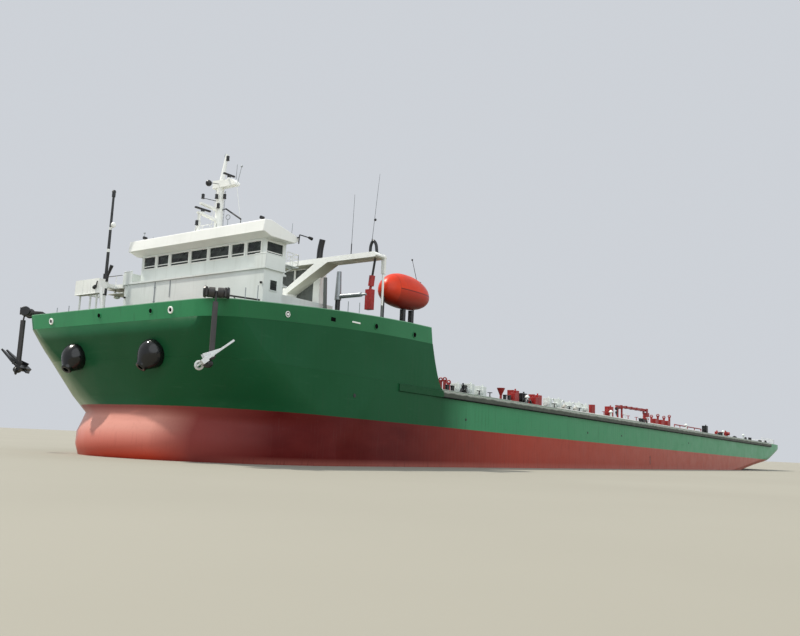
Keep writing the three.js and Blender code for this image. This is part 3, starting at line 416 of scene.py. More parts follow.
# Paler aft and the palest front are painted light.
tone = wall.mix(wall.spread(x, 6.4, 5.2), wall.mix(cloud, "1f6039", "26683f"), lit_aft_tone)
tone = wall.mix(wall.spread(x, 7.64, 7.7), tone, wall.mix(cloud, "348457", "3a8b5c"))
runs = wall.patches(9.0, 0.56, 0.74, stretch=(3.0, 3.0, 0.28), shift=(3, 2, 1), detail=5.0)
wall.relief(wall.noise(3.5, shift=(1, 4, 2)), 0.1, 0.01)
bulwark_green = wall.close(wall.mix(wall.times(runs, 0.3), tone, "2f5740"),
                           wall.spread(cloud, 0, 1, 0.34, 0.46), specular=0.2)
strake = Recipe("fender_strake", "fender_paint")
x, y, z = strake.split()
drop = strake.work("SUBTRACT", strake.work("MULTIPLY_ADD", x, DECK_SLOPE, DECK_EDGE_HEIGHT), z)
wander = strake.patches(12.0, 0.0, 1.0, -0.012, 0.012, stretch=(1, 1, 0.2), detail=6.0)
worn_edge = strake.spread(strake.work("ADD", drop, wander), 0.016, 0.026, 0.85, 0.0)
black_line = strake.spread(drop, FENDER_DEPTH - 0.016, FENDER_DEPTH - 0.008)
tone = strake.mix(strake.noise(9.0, detail=6.0), "3b4139", "5a6057")
tone = strake.mix(black_line, strake.mix(worn_edge, tone, "a3a8a0"), "14171a")
# Forward, the strake takes the forecastle's darker green, which holds painted shade.
tone = strake.mix(strake.spread(x, 5.04, 5.06), tone, "184a2c")
strake.relief(strake.noise(30.0), 0.2, 0.002)
strake_grey = strake.close(tone, strake.patches(20.0, 0.3, 0.7, 0.55, 0.75), specular=0.2)
print("bulwark and strake finished")

# %% [markdown]
# The fixed plates of the frame carry their finish straight away. Curved nodes are copied instead: the
# copy has its loose triangles merged, flat areas dissolved into single faces, its curves shaded
# smoothly and its edges slightly rounded by a bevel, and then it stands in for the node.

# %% Finishes on the frame's own nodes


def settle(shape, name, finish, slot_name, body, edge, angle):
    """Turns a bmesh into a piece with a finish and rounded edges that rides on a body."""
    slot_name = slot_name or usual_slot[finish.name]
    mesh = bpy.data.meshes.new(name)
    shape.to_mesh(mesh)
    shape.free()
    for face in mesh.polygons:
        face.use_smooth = True
    mesh.set_sharp_from_angle(angle=math.radians(angle))
    mesh.materials.append(finish)
    piece = bpy.data.objects.new(name, mesh)
    scene.collection.objects.link(piece)
    if edge:
        rounding = piece.modifiers.new("rounded_edges", "BEVEL")
        rounding.width = edge / MODEL_SCALE
        rounding.segments = 2
        rounding.limit_method = "ANGLE"
        rounding.angle_limit = math.radians(40)
    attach(piece, body)
    return piece


def dress(finish, names, slot_name=None):
    slot_name = slot_name or usual_slot[finish.name]
    for name in names:
        node = nodes[name]
        node.data.materials.clear()
        node.data.materials.append(finish)


def smooth_copies(finish, edge, names, slot_name=None, angle=35.0):
    for name in names:
        shape = bmesh.new()
        shape.from_mesh(nodes[name].data)
        bmesh.ops.remove_doubles(shape, verts=shape.verts, dist=1e-5)
        bmesh.ops.dissolve_limit(shape, angle_limit=math.radians(0.5), verts=shape.verts, edges=shape.edges)
        body = nodes[name].parent.name.split(":")[-1]
        piece = settle(shape, name + "_finished", finish, slot_name, body, edge, angle)
        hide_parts(name)


def both(stem):
    return [stem + "_" + side_name for side_name in SIDES]


dress(hull_green, ["hull_midbody", "hull_stern"])
dress(hull_green, both("skeg") + both("rudder"), "bottom_paint")
dress(strake_grey, both("fender"))
dress(white_paint, ["deckhouse", "bridge_deck", "wheelhouse"])
smooth_copies(hull_green, 0, ["hull_bow", "forecastle"], angle=30)
smooth_copies(bulwark_green, 0, ["bulwark_front", *both("bulwark")], angle=30)
smooth_copies(propeller_bronze, 0.012, both("propeller"))
smooth_copies(roof_white, 0.05, ["wheelhouse_roof"])
smooth_copies(roof_white, 0.015, ["radar_mast"])
smooth_copies(black_paint, 0.02, ["radar_scanner_lower", "radar_scanner_upper"])
smooth_copies(gantry_white, 0.01, ["signal_mast"])
smooth_copies(gantry_white, 0.04, ["gantry"])
smooth_copies(white_paint, 0.008, both("wheelhouse_door") + both("deckhouse_door"))
smooth_copies(black_paint, 0, both("exhaust"))
smooth_copies(boat_orange, 0, both("lifeboat"), angle=50)
smooth_copies(black_paint, 0.01, both("lifeboat_cradle"))
smooth_copies(iron_brown, 0.02, both("fairlead"))
smooth_copies(iron_brown, 0.01, both("roller"))
smooth_copies(iron_brown, 0.03, both("anchor"))
smooth_copies(bare_steel, 0.02, ["flukes_port"])
# The starboard flukes are the same steel, painted black as painted shade.
smooth_copies(black_paint, 0.02, ["flukes_starboard"], "steel")
smooth_copies(black_paint, 0.02, ["boat_crane_post"], "white_paint")
smooth_copies(galvanised, 0.01, ["boat_crane_boom"])
smooth_copies(machine_red, 0.01, both("winch_drum_forward") + both("winch_drum_aft"))
smooth_copies(machine_red, 0.02, [*both("winch_forward"), *both("winch_aft"), "windlass", "boom_rest"])
smooth_copies(machine_red, 0.03, ["crane_pedestal", "crane_column", "crane_boom"])
smooth_copies(pipe_grey, 0, ["deck_pipework"])
print("all nodes have a finish")

# %% [markdown]
# The rest of the ship is fittings. They are all made from four shapes, each from one bmesh operator: a
# block, a bar, a ball and a ring. A ring is a small circle spun once round an axis. The last helper
# turns a finished bmesh into a piece, rounds its edges and lets it ride on a body.

# %% Helpers for fittings


def add_block(shape, x, y, z):
    low = at(x[0], y[0], z[0])
    high = at(x[1], y[1], z[1])
    place = Matrix.Translation((low + high) / 2) @ Matrix.Diagonal((*(high - low), 1))
    bmesh.ops.create_cube(shape, size=1, matrix=place)


def add_bar(shape, start, end, radius, end_radius=None, sides=10):
    start, end = at(*start), at(*end)
    span = end - start
    lean = span.to_track_quat("Z", "Y").to_matrix().to_4x4()
    last = radius if end_radius is None else end_radius
    bmesh.ops.create_cone(shape, cap_ends=True, segments=sides, radius1=radius / MODEL_SCALE,
                          radius2=last / MODEL_SCALE, depth=span.length,
                          matrix=Matrix.Translation((start + end) / 2) @ lean)


def add_bars(shape, sides, *rows):
    """Several bars with the same number of sides, each row a start, an end and one or two radii."""
    for row in rows:
        add_bar(shape, *row, sides=sides)


def add_post(shape, spot, tall, radius, end_radius=None, sides=10):
    x, y, z = spot
    add_bar(shape, spot, (x, y, z + tall), radius, end_radius, sides)


def add_ball(shape, centre, radius, squash=(1, 1, 1)):
    place = Matrix.Translation(at(*centre)) @ Matrix.Diagonal((*squash, 1))
    bmesh.ops.create_uvsphere(shape, u_segments=14, v_segments=8, radius=radius / MODEL_SCALE, matrix=place)


def spin_round(shape, parts, hub, axis, steps):
    bmesh.ops.spin(shape, geom=parts, cent=hub, axis=axis, dvec=(0, 0, 0), angle=2 * math.pi, steps=steps,
                   use_merge=True, use_duplicate=False)


def add_ring(shape, centre, axis, radius, thickness, steps=20, sides=8):
    hub = at(*centre)
    axis = Vector(axis).normalized()
    out = axis.orthogonal().normalized()
    lean = Matrix((out, axis, out.cross(axis))).transposed().to_4x4()
    place = Matrix.Translation(hub + out * radius / MODEL_SCALE) @ lean
    made = bmesh.ops.create_circle(shape, segments=sides, radius=thickness / MODEL_SCALE, matrix=place)
    corners = made["verts"]
    edges = list({edge for corner in corners for edge in corner.link_edges})
    spin_round(shape, corners + edges, hub, axis, steps)


def make_piece(shape, name, finish, edge=0.0, body="hull", angle=35.0, slot_name=None):
    bmesh.ops.recalc_face_normals(shape, faces=shape.faces)
    piece = settle(shape, name, finish, slot_name, body, edge, angle)
    print(name, len(piece.data.polygons), "faces")
    return piece


# %% [markdown]
# The wheelhouse front is a row of seven windows. Each pane is dark tinted glass set back in its opening,
# with a raised white frame round it, a pale rail low down in front of it and a wiper. The same frame
# helper serves every other window of the ship.

# %% Tinted glass
panes = Recipe("tinted_glass", "black_paint")
tone = panes.mix(panes.patches(9.0, 0.35, 0.65, stretch=(1, 1, 3)), "070a09", "343c37")
tinted_glass = panes.close(tone, panes.patches(9.0, 0.3, 0.7, 0.05, 0.14), specular=0.3)
print("glass finished")

# %% Wheelhouse windows
FRONT_PANES = ((0, 2.0), (2.47, 2.28), (-2.47, 2.28), (4.67, 1.46), (-4.67, 1.46), (6.5, 1.54),
               (-6.5, 1.54))
SILL = 17.0
HEAD = 18.0
PANE = (SILL, HEAD)


def add_surround(shape, spans, wall_axis, bar):
    """Four bars round an opening; wall_axis is the axis that the opening goes through."""
    across_it, along_it = [axis for axis in range(3) if axis != wall_axis]
    for axis in (across_it, along_it):
        for end, outward in ((0, -1), (1, 1)):
            edge = [list(span) for span in spans]
            edge[axis] = sorted((spans[axis][end], spans[axis][end] + outward * bar))
            if axis == across_it:
                edge[along_it] = [spans[along_it][0] - bar, spans[along_it][1] + bar]
            add_block(shape, *edge)


glass = bmesh.new()
surrounds = bmesh.new()
inner_rails = bmesh.new()
wipers = bmesh.new()
for centre, width in FRONT_PANES:
    span = (centre - width / 2, centre + width / 2)
    add_block(glass, (67.0, 67.03), span, PANE)
    add_surround(surrounds, ((67.08, 67.15), span, PANE), X, 0.07)
    add_block(inner_rails, (67.035, 67.06), span, (SILL + 0.17, SILL + 0.25))
    low_end = (67.14, centre - width * 0.1, SILL + 0.35)
    add_bar(wipers, (67.14, centre + width * 0.2, HEAD), low_end, 0.022, sides=6)
for side in SIDES.values():
    pane = (65.05, 66.8)
    add_block(glass, pane, across(side, 7.5, 7.53), PANE)
    add_surround(surrounds, (pane, across(side, 7.58, 7.65), PANE), Y, 0.07)
    add_block(inner_rails, pane, across(side, 7.535, 7.56), (SILL + 0.2, SILL + 0.28))
    span = across(side, 4.4, 6.6)
    add_block(glass, (64.77, 64.8), span, PANE)
    add_surround(surrounds, ((64.65, 64.72), span, PANE), X, 0.07)
make_piece(glass, "wheelhouse_glass", tinted_glass)
make_piece(surrounds, "wheelhouse_window_frames", roof_white, 0.015)
make_piece(inner_rails, "wheelhouse_inner_rails", roof_white, 0.008)
make_piece(wipers, "wheelhouse_wipers", black_paint)

# %% [markdown]
# The house below has smaller windows in its sides and in the stair block behind. They are glass on the
# face of the wall inside a raised frame, because these walls have no openings in the frame. The
# machinery casing has louvres instead, slats one above the other.

# %% House windows and louvres
HOUSE_HALF = 8.65
STAIR_HALF = 4.0
CASING_HALF = 3.9
house_glass = bmesh.new()
surrounds = bmesh.new()
slats = bmesh.new()
for side in SIDES.values():
    for x, half in ((66.9, HOUSE_HALF), (64.6, STAIR_HALF), (63.2, STAIR_HALF), (61.8, STAIR_HALF)):
        pane = (x - 0.35, x + 0.35)
        add_block(house_glass, pane, across(side, half, half + 0.012), (14.0, 14.75))
        add_surround(surrounds, (pane, across(side, half, half + 0.05), (14.0, 14.75)), Y, 0.07)
    for x in (56.0, 57.7, 59.4):
        vent = (x - 0.6, x + 0.6)
        add_surround(surrounds, (vent, across(side, CASING_HALF, 3.97), (12.9, 14.2)), Y, 0.08)
        for slat in range(9):
            z = 12.97 + slat * 0.14
            add_block(slats, vent, across(side, CASING_HALF, 3.95), (z, z + 0.075))
make_piece(house_glass, "house_glass", tinted_glass)
make_piece(surrounds, "house_window_frames", white_paint, 0.012)
make_piece(slats, "casing_louvres", galvanised, 0.01)

# %% [markdown]
# Each door has a small round window with a ring and three dogs near its outer edge. They ride on the
# door, so that they swing with it.

# %% Door lights and dogs
DOORS = (("wheelhouse", 64.7, 2.6, 3.5, 15.84, 17.82), ("deckhouse", 65.9, 5.4, 6.4, 11.9, 13.9))
for side_name, side in SIDES.items():
    for kind, face, near, far, low, high in DOORS:
        middle = side * (near + far) / 2
        body = kind + "_door_" + side_name
        eye = high - 0.5
        fittings = bmesh.new()
        add_ring(fittings, (face, middle, eye), (1, 0, 0), 0.19, 0.03, steps=18, sides=6)
        for lift in (0.35, 0.95, 1.5):
            add_post(fittings, (face - 0.03, side * (far - 0.1), low + lift), 0.16, 0.02, sides=6)
        make_piece(fittings, body + "_ring", galvanised, body=body)
        light = bmesh.new()
        add_bar(light, (face - 0.012, middle, eye), (face + 0.02, middle, eye), 0.18, sides=18)
        make_piece(light, body + "_light", tinted_glass, body=body)

# %% [markdown]
# Rails are posts with three bars. The helper walks along the corners of a route and sets posts at even
# distances. Each bridge wing has a plated parapet in place of a rail, and a small railed platform
# stands behind the wheelhouse on each side.

# %% Parapets and rails
BRIDGE_FLOOR = 15.7
PARAPET_TOP = 16.72
PLATFORM = 16.58


def add_railing(shape, corners, height=1.1, bars=3, gap=1.4, radius=0.032):
    for start, end in zip(corners, corners[1:]):
        start, end = Vector(start), Vector(end)
        steps = max(1, round((end - start).length / gap))
        for step in range(steps + 1):
            foot = start.lerp(end, step / steps)
            add_bar(shape, foot, foot + Vector((0, 0, height)), radius, sides=6)
        for bar in range(1, bars + 1):
            lift = Vector((0, 0, height * bar / bars))
            add_bar(shape, start + lift, end + lift, radius * (1.0 if bar == bars else 0.75), sides=6)


parapets = bmesh.new()
rails = bmesh.new()
for side in SIDES.values():
    add_block(parapets, (67.93, 67.99), across(side, 7.62, 8.8), (BRIDGE_FLOOR, PARAPET_TOP))
    add_block(parapets, (65.85, 67.96), across(side, 8.74, 8.8), (BRIDGE_FLOOR, PARAPET_TOP))
    corner = (67.96, side * 8.77, PARAPET_TOP)
    add_bars(parapets, 10, ((67.96, side * 7.62, PARAPET_TOP), corner, 0.05),
             (corner, (65.85, side * 8.77, PARAPET_TOP), 0.05))
    add_block(parapets, (63.3, 64.68), across(side, 6.75, 7.75), (16.5, PLATFORM))
    add_bar(parapets, (64.66, side * 7.2, 15.8), (63.5, side * 7.2, 16.5), 0.06)
    route = [(64.62, side * 7.7, PLATFORM), (63.35, side * 7.7, PLATFORM), (63.35, side * 6.8, PLATFORM)]
    add_railing(rails, route, height=1.0, gap=0.7)
make_piece(parapets, "bridge_wing_parapets", white_paint, 0.012)
make_piece(rails, "house_rails", roof_white)

# %% [markdown]
# Two thin drain pipes with clips and a small lamp at each corner break up the flat front of the house. A
# drip edge runs under the roof above the windows.

# %% Fittings on the house front
front_pipes = bmesh.new()
add_bars(front_pipes, 8, ((67.93, -4.4, 12.2), (67.93, -4.4, 15.5), 0.04),
         ((67.93, -2.4, 14.1), (67.93, -2.4, 15.5), 0.03))
for z in (12.6, 13.8, 15.0):
    add_block(front_pipes, (67.89, 67.95), (-4.5, -4.3), (z, z + 0.06))
make_piece(front_pipes, "front_drain_pipes", galvanised)
front_lamps = bmesh.new()
drip_edge = bmesh.new()
add_bar(drip_edge, (68.02, -8.35, 18.5), (68.02, 8.35, 18.5), 0.04)
for side in SIDES.values():
    add_bar(front_lamps, (67.9, side * 8.45, 14.48), (68.04, side * 8.45, 14.44), 0.07, 0.1)
    add_bar(drip_edge, (68.02, side * 8.36, 18.5), (64.2, side * 8.36, 18.52), 0.04)
make_piece(front_lamps, "front_lamps", black_paint, 0.01)
make_piece(drip_edge, "roof_drip_edge", roof_white)

# %% [markdown]
# The gantry is one white box section, with painted shade on the faces that look down. Its hoists are
# red and their rods dark, so the faces in the hoist's place take other finishes. The flat pylon behind
# the diagonals is filled with grey louvre slats between white edge posts.

# %% Gantry finishes and louvres
PYLON_FACE = 55.655


def recolour(piece, finish, inside):
    """Gives the faces whose middle lies in a stated region another finish."""
    mesh = piece.data
    mesh.materials.append(finish)
    changed = 0
    for face in mesh.polygons:
        middle = face.center * MODEL_SCALE
        if inside(middle.x + ORIGIN_X, middle.y, middle.z):
            face.material_index = len(mesh.materials) - 1
            changed += 1
    print(piece.name, "has", changed, "faces in", finish.name)


gantry = bpy.data.objects["gantry_finished"]
recolour(gantry, machine_red, lambda x, y, z: 9.1 < abs(y) < 10.05 and z < 17.1 and x > 55.9)
recolour(gantry, black_paint, lambda x, y, z: 9.1 < abs(y) < 10.06 and 17.05 < z < 18.48 and x > 56.0)
louvres = bmesh.new()
posts = bmesh.new()
for side in SIDES.values():
    for slat in range(23):
        z = 15.2 + slat * 0.14
        add_block(louvres, (55.66, 55.71), across(side, 0.12, 2.4), (z, z + 0.085))
    add_block(louvres, (55.651, 55.665), across(side, 0.12, 2.4), (15.1, 18.45))
    add_block(posts, (PYLON_FACE, 55.75), across(side, 2.4, 3.2), (15.0, 18.5))
    add_bar(posts, (55.62, side * 10.4, 14.4), (55.62, side * 10.4, 17.4), 0.1)
add_block(posts, (PYLON_FACE, 55.74), (-0.12, 0.12), (16.2, 18.5))
make_piece(louvres, "gantry_louvres", louvre_grey, 0.01)
make_piece(posts, "gantry_edge_posts", roof_white, 0.02)

# %% [markdown]
# The signal mast is black with two white bands. The bands lie at fixed heights, so the finish reads the
# height and mixes white in. Below the pole the wing and the cabinet keep their white paint.

# %% Banded pole
POLE_X = 68.9
POLE_Y = -10.1
pole = Recipe("signal_pole_bands", "black_paint")
height = pole.split()[Z]
low_band = pole.work("COMPARE", height, 1.861, 0.014)
high_band = pole.work("COMPARE", height, 2.06, 0.012)
bands = pole.work("MAXIMUM", low_band, high_band)
scratches = pole.patches(40.0, 0.35, 0.65)
banded = pole.close(pole.mix(bands, pole.mix(scratches, "191b1d", "2b2d2e"), "dfe2de"),
                    pole.spread(scratches, 0, 1, 0.35, 0.55))
recolour(bpy.data.objects["signal_mast_finished"], banded,
         lambda x, y, z: z > 15.4 and math.hypot(x - POLE_X, y - POLE_Y) < 0.3)

# %% [markdown]
# A ball on an arm, a collar, the wing's rail and dome and the battens on the cabinet's front are white.
# The horn, a small lamp on the cabinet and the pole's top and other collars are black.

# %% Fittings on the signal mast
shape = bmesh.new()
add_ball(shape, (POLE_X, -9.72, 20.9), 0.22, squash=(1, 1, 1.1))
add_bar(shape, (POLE_X, -10.0, 20.7), (POLE_X, -9.6, 20.7), 0.05)
add_post(shape, (POLE_X, POLE_Y, 15.2), 0.6, 0.25, sides=14)
add_ball(shape, (67.0, -11.0, 14.8), 0.3, squash=(1, 1, 0.55))
for y in (-9.2, -8.1):
    add_block(shape, (71.6, 71.615), (y - 0.02, y + 0.02), (14.2, 15.35))
add_block(shape, (71.6, 71.64), (-10.3, -6.95), (14.12, 14.17))
for y in (-11.2, -10.0, -8.95):
    add_bar(shape, (67.9, y, 15.68), (67.9, y, 16.5), 0.03, sides=6)
add_bar(shape, (67.9, -11.2, 16.5), (67.9, -8.95, 16.5), 0.03, sides=6)
make_piece(shape, "wing_rail_and_dome", roof_white, 0.015)
shape = bmesh.new()
add_bars(shape, 14, ((POLE_X, POLE_Y, 15.78), (POLE_X, POLE_Y, 16.5), 0.23),
         ((POLE_X, POLE_Y, 14.6), (POLE_X, POLE_Y, 15.25), 0.21),
         ((POLE_X, POLE_Y, 23.95), (POLE_X, POLE_Y, 24.12), 0.2, 0.12))
add_bars(shape, 10, ((68.95, -9.85, 15.8), (68.95, -9.75, 16.3), 0.1),
         ((68.95, -9.75, 16.3), (68.95, -9.3, 17.2), 0.09, 0.17),
         ((71.62, -7.5, 14.62), (71.72, -7.2, 14.72), 0.17, 0.12),
         ((71.68, -7.15, 14.7), (71.68, -7.05, 15.15), 0.05))
add_bar(shape, (68.95, -9.6, 16.2), (67.9, -9.1, 16.5), 0.03, sides=6)
make_piece(shape, "signal_mast_horn_and_lamp", black_paint, 0.01)

# %% [markdown]
# A mast collects lamps and carries a black ball as a day shape. Each lamp is a short black drum with a
# cap, which is how a navigation lantern looks from far off.

# %% Radar mast lanterns
LANTERNS = ((65.0, 0.2, 26.5), (65.85, 0.12, 22.9), (65.75, 0.3, 22.1), (67.62, 0.0, 20.2),
            (66.9, -0.35, 22.7), (65.4, 0.62, 22.95))
lanterns = bmesh.new()
for x, y, z in LANTERNS:
    add_bar(lanterns, (x, y, z - 0.15), (x, y, z + 0.15), 0.13, sides=12)
    add_bar(lanterns, (x, y, z + 0.15), (x, y, z + 0.23), 0.1625, 0.065, sides=12)
    add_block(lanterns, (x - 0.12, x + 0.12), (y - 0.1, y + 0.1), (z - 0.21, z - 0.15))
add_ball(lanterns, (66.7, 0.0, 23.85), 0.27)
add_bars(lanterns, 6, ((66.7, 0.0, 23.9), (65.5, 0.0, 24.1), 0.03),
         ((66.9, -0.35, 22.55), (65.5, -0.1, 22.6), 0.03), ((65.1, 2.5, 20.8), (65.1, 2.4, 19.1), 0.035),
         ((65.1, 0.55, 21.95), (65.3, 0.2, 21.8), 0.05))
add_bar(lanterns, (65.1, 0.55, 21.95), (65.1, 2.5, 20.8), 0.07, sides=8)
make_piece(lanterns, "mast_lanterns", black_paint, 0.008)

# %% [markdown]
# Thin rods stand for the whip aerials, two of them with a ball at the tip. A ladder of rungs climbs the
# mast, and stays and a low rail stand round its foot.

# %% Radar mast aerials, rungs and stays
AERIALS = (((65.3, 1.78, 24.3), (65.3, 1.8, 25.6)), ((65.3, 2.0, 24.0), (65.3, 2.35, 25.3)),
           ((65.2, 0.0, 26.6), (65.15, 0.0, 26.9)), ((67.0, -7.7, 19.5), (67.0, -7.75, 20.35)),
           ((66.9, -6.6, 19.4), (66.9, -6.62, 19.9)), ((64.6, 8.0, 19.0), (64.6, 8.05, 19.9)))
STAYS = (((67.42, 0.5, 19.4), (67.42, 0.0, 20.9)), ((67.42, -0.5, 19.4), (67.42, 0.0, 20.9)),
         ((64.4, 2.2, 18.85), (65.3, 1.9, 23.8)), ((64.4, -2.2, 18.85), (65.3, -0.6, 23.8)))
aerials = bmesh.new()
for foot, tip in AERIALS:
    add_bar(aerials, foot, tip, 0.03, 0.02, sides=6)
for spot in ((65.3, 2.36, 25.35), (67.0, -7.75, 20.35)):
    add_ball(aerials, spot, 0.09)
for rung in range(16):
    z = 19.3 + rung * 0.28
    add_bar(aerials, (65.0, -0.22, z), (65.0, 0.22, z), 0.02, sides=6)
for y in (-0.22, 0.22):
    add_bar(aerials, (65.0, y, 19.0), (65.0, y, 23.6), 0.02, sides=6)
add_ring(aerials, (65.3, 1.12, 21.1), (1, 0.3, 0), 0.2, 0.03, steps=18, sides=6)
add_bar(aerials, (65.3, 1.12, 20.9), (65.3, 1.12, 19.1), 0.03, sides=6)
make_piece(aerials, "mast_aerials_and_rungs", galvanised)
stays = bmesh.new()
for foot, top_end in STAYS:
    add_bar(stays, foot, top_end, 0.022, sides=6)
for route in ([(66.6, -1.3, 19.35), (66.6, 1.3, 19.35), (64.8, 1.3, 18.95)],
              [(66.6, -1.3, 19.35), (64.8, -1.3, 18.95)]):
    add_railing(stays, route, height=0.9, gap=0.9, radius=0.028)
make_piece(stays, "mast_stays_and_rail", roof_white)

# %% [markdown]
# On the wheelhouse roof stand two searchlights, a lamp on a bent arm at the aft corner and a satellite
# dome. A searchlight is a short drum on a post.

# %% Roof searchlights
searchlights = bmesh.new()
for side in SIDES.values():
    y = side * 7.3
    add_bar(searchlights, (67.2, y, 19.3), (67.2, y, 19.75), 0.05)
    add_bar(searchlights, (67.05, y, 19.82), (67.4, y, 19.8), 0.11, 0.14, sides=16)
    add_bar(searchlights, (66.4, y - side * 0.5, 19.3), (66.4, y - side * 0.5, 19.6), 0.07)
add_bars(searchlights, 10, ((64.35, 8.3, 18.7), (64.35, 8.62, 18.75), 0.05),
         ((64.35, 8.6, 18.2), (64.3, 8.6, 18.95), 0.05), ((64.3, 8.6, 18.95), (63.4, 8.9, 18.85), 0.045))
add_bar(searchlights, (63.55, 8.88, 18.87), (63.2, 8.95, 18.8), 0.1, 0.14, sides=12)
make_piece(searchlights, "roof_searchlights", black_paint, 0.01)
shape = bmesh.new()
add_ball(shape, (65.6, -4.6, 19.75), 0.42)
add_post(shape, (65.6, -4.6, 19.0), 0.5, 0.14, sides=12)
make_piece(shape, "roof_dome", roof_white)

# %% [markdown]
# Two whip aerials stand on the gantry. They are thin fibreglass rods on a thicker foot. Slim grey pipes
# stand beside the casing, and under each end of the gantry the white post goes on in grey as painted shade.

# %% Gantry aerials and stays
whips = bmesh.new()
for foot, tip in (((56.4, 7.3, 18.98), (56.3, 7.3, 24.6)), ((55.8, 9.0, 18.98), (55.0, 9.0, 26.6))):
    middle = Vector(foot).lerp(Vector(tip), 0.2)
    add_bar(whips, foot, middle, 0.045, sides=8)
    add_bar(whips, middle, tip, 0.02, 0.012, sides=6)
add_ball(whips, (55.35, 9.0, 22.3), 0.12)
make_piece(whips, "gantry_whip_aerials", black_paint)
shape = bmesh.new()
for side in SIDES.values():
    add_bar(shape, (56.35, side * 4.4, 17.3), (56.2, side * 4.5, 12.2), 0.17, 0.2, sides=12)
    # Below the lifeboat the white post is grey: painted shade.
    add_bar(shape, (55.62, side * 10.4, knuckle(55.6)), (55.62, side * 10.4, 14.5), 0.1)
make_piece(shape, "gantry_stays", louvre_grey)

# %% [markdown]
# Round openings pierce the bulwark. Each is a near-black disc of painted shade with a ring for its rim,
# and a few of the rims are painted white. They lie on the outer face. Each side also has an oblong port
# of painted shade, a short white bar and a white dot.

# %% Bulwark openings
FRONT_LEAN = (0.99, 0.0, -0.13)
rims = bmesh.new()
white_rims = bmesh.new()
openings = bmesh.new()
marks = bmesh.new()


def add_port(rim_shape, spot, axis, radius, thick=0.035):
    out = Vector(axis)
    face = Vector(spot) + out * 0.03
    add_bar(openings, Vector(spot) - out * 0.06, face + out * 0.015, radius, sides=18)
    add_ring(rim_shape, face, axis, radius, thick, steps=20, sides=6)


add_port(white_rims, (75.17, -7.37, 11.25), FRONT_LEAN, 0.2, thick=0.07)
add_port(white_rims, (75.17, 7.34, 11.3), FRONT_LEAN, 0.2, thick=0.07)
for y in (-0.99, 5.15):
    add_port(rims, (75.17, y, 11.36), FRONT_LEAN, 0.2)
for side in SIDES.values():
    add_port(white_rims, (68.43, side * HULL_HALF, 11.75), (0, side, 0), 0.2)
    for x in (58.14, 52.77):
        add_port(rims, (x, side * HULL_HALF, 12.28), (0, side, 0), 0.24)
    add_block(openings, (63.2, 63.7), across(side, 11.88, 11.93), (11.95, 12.25))
    add_block(marks, (60.2, 61.2), across(side, HULL_HALF, 11.93), (12.18, 12.3))
    add_bar(marks, (68.43, side * 11.94, 11.75), (68.43, side * 11.96, 11.75), 0.1, sides=14)
make_piece(rims, "bulwark_rims", bulwark_green)
make_piece(white_rims, "bulwark_white_rims", roof_white)
make_piece(openings, "bulwark_openings", opening_black)
make_piece(marks, "bulwark_white_marks", roof_white)

# %% [markdown]
# The two bells on the bow are smooth castings. Their profile is spun once round an axis that points
# forward and down, and the back of each lies inside the plating. Beside the rollers of the corner
# fairleads sit round drum ends. The anchors have a ring and a round crown, which tilt with the flukes.

# %% Hawse bells, drum ends and anchor crowns
BELL_PROFILE = ((0.74, -0.51), (0.99, -0.24), (1.065, 0), (1.05, 0.33), (0.97, 0.61), (0.82, 0.88),
                (0.64, 1.11), (0.5, 1.29), (0.41, 1.43), (0.41, 1.55), (0.35, 1.6), (0.22, 1.57),
                (0.2, 0.9))
BELL_DIP = 0.9
BELL_TURN = 0.2
drums = bmesh.new()
for side_name, side in SIDES.items():
    bell = bmesh.new()
    flat = math.cos(BELL_DIP)
    axis = Vector((flat * math.cos(BELL_TURN), -side * flat * math.sin(BELL_TURN), -math.sin(BELL_DIP)))
    out = axis.orthogonal().normalized()
    hub = Vector((74.28, side * 4.78, 8.6))
    points = [bell.verts.new(at(*(hub + axis * height + out * radius))) for radius, height in BELL_PROFILE]
    lines = [bell.edges.new(pair) for pair in zip(points, points[1:])]
    spin_round(bell, points + lines, at(*hub), axis, 48)
    piece = make_piece(bell, "hawse_bell_" + side_name + "_finished", bell_black, angle=55)
    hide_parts("hawse_bell_" + side_name)
    centre = Vector((74.88, side * 11.58, 12.27))
    along = Vector((-math.sqrt(0.5), side * math.sqrt(0.5), 0))
    for start, end in ((0.7, 0.86), (-0.7, -0.86)):
        add_bar(drums, centre + along * start, centre + along * end, 0.42, 0.36, sides=22)
    ring = bmesh.new()
    add_ring(ring, (75.55, side * 11.2, 7.36), (0.8, side * 0.6, 0), 0.24, 0.09, steps=20, sides=8)
    # The starboard ring is painted black as painted shade; the port one shows bare steel.
    ring_steel_or_painted_shade = bare_steel if side == 1 else black_paint
    make_piece(ring, "fluke_ring_" + side_name, ring_steel_or_painted_shade, body="flukes_" + side_name, slot_name="steel")
    crown = bmesh.new()
    add_ball(crown, (75.2, side * 11.62, 7.5), 0.36, squash=(1, 1, 0.8))
    make_piece(crown, "fluke_crown_" + side_name, black_paint, body="flukes_" + side_name)
make_piece(drums, "fairlead_drum_ends", black_paint, 0.02)

# %% [markdown]
# The top of the bulwark carries a flat capping. Its plan follows the wall exactly, so it is made from the
# wall itself: keep only the top faces of a copy and extrude them up a little.

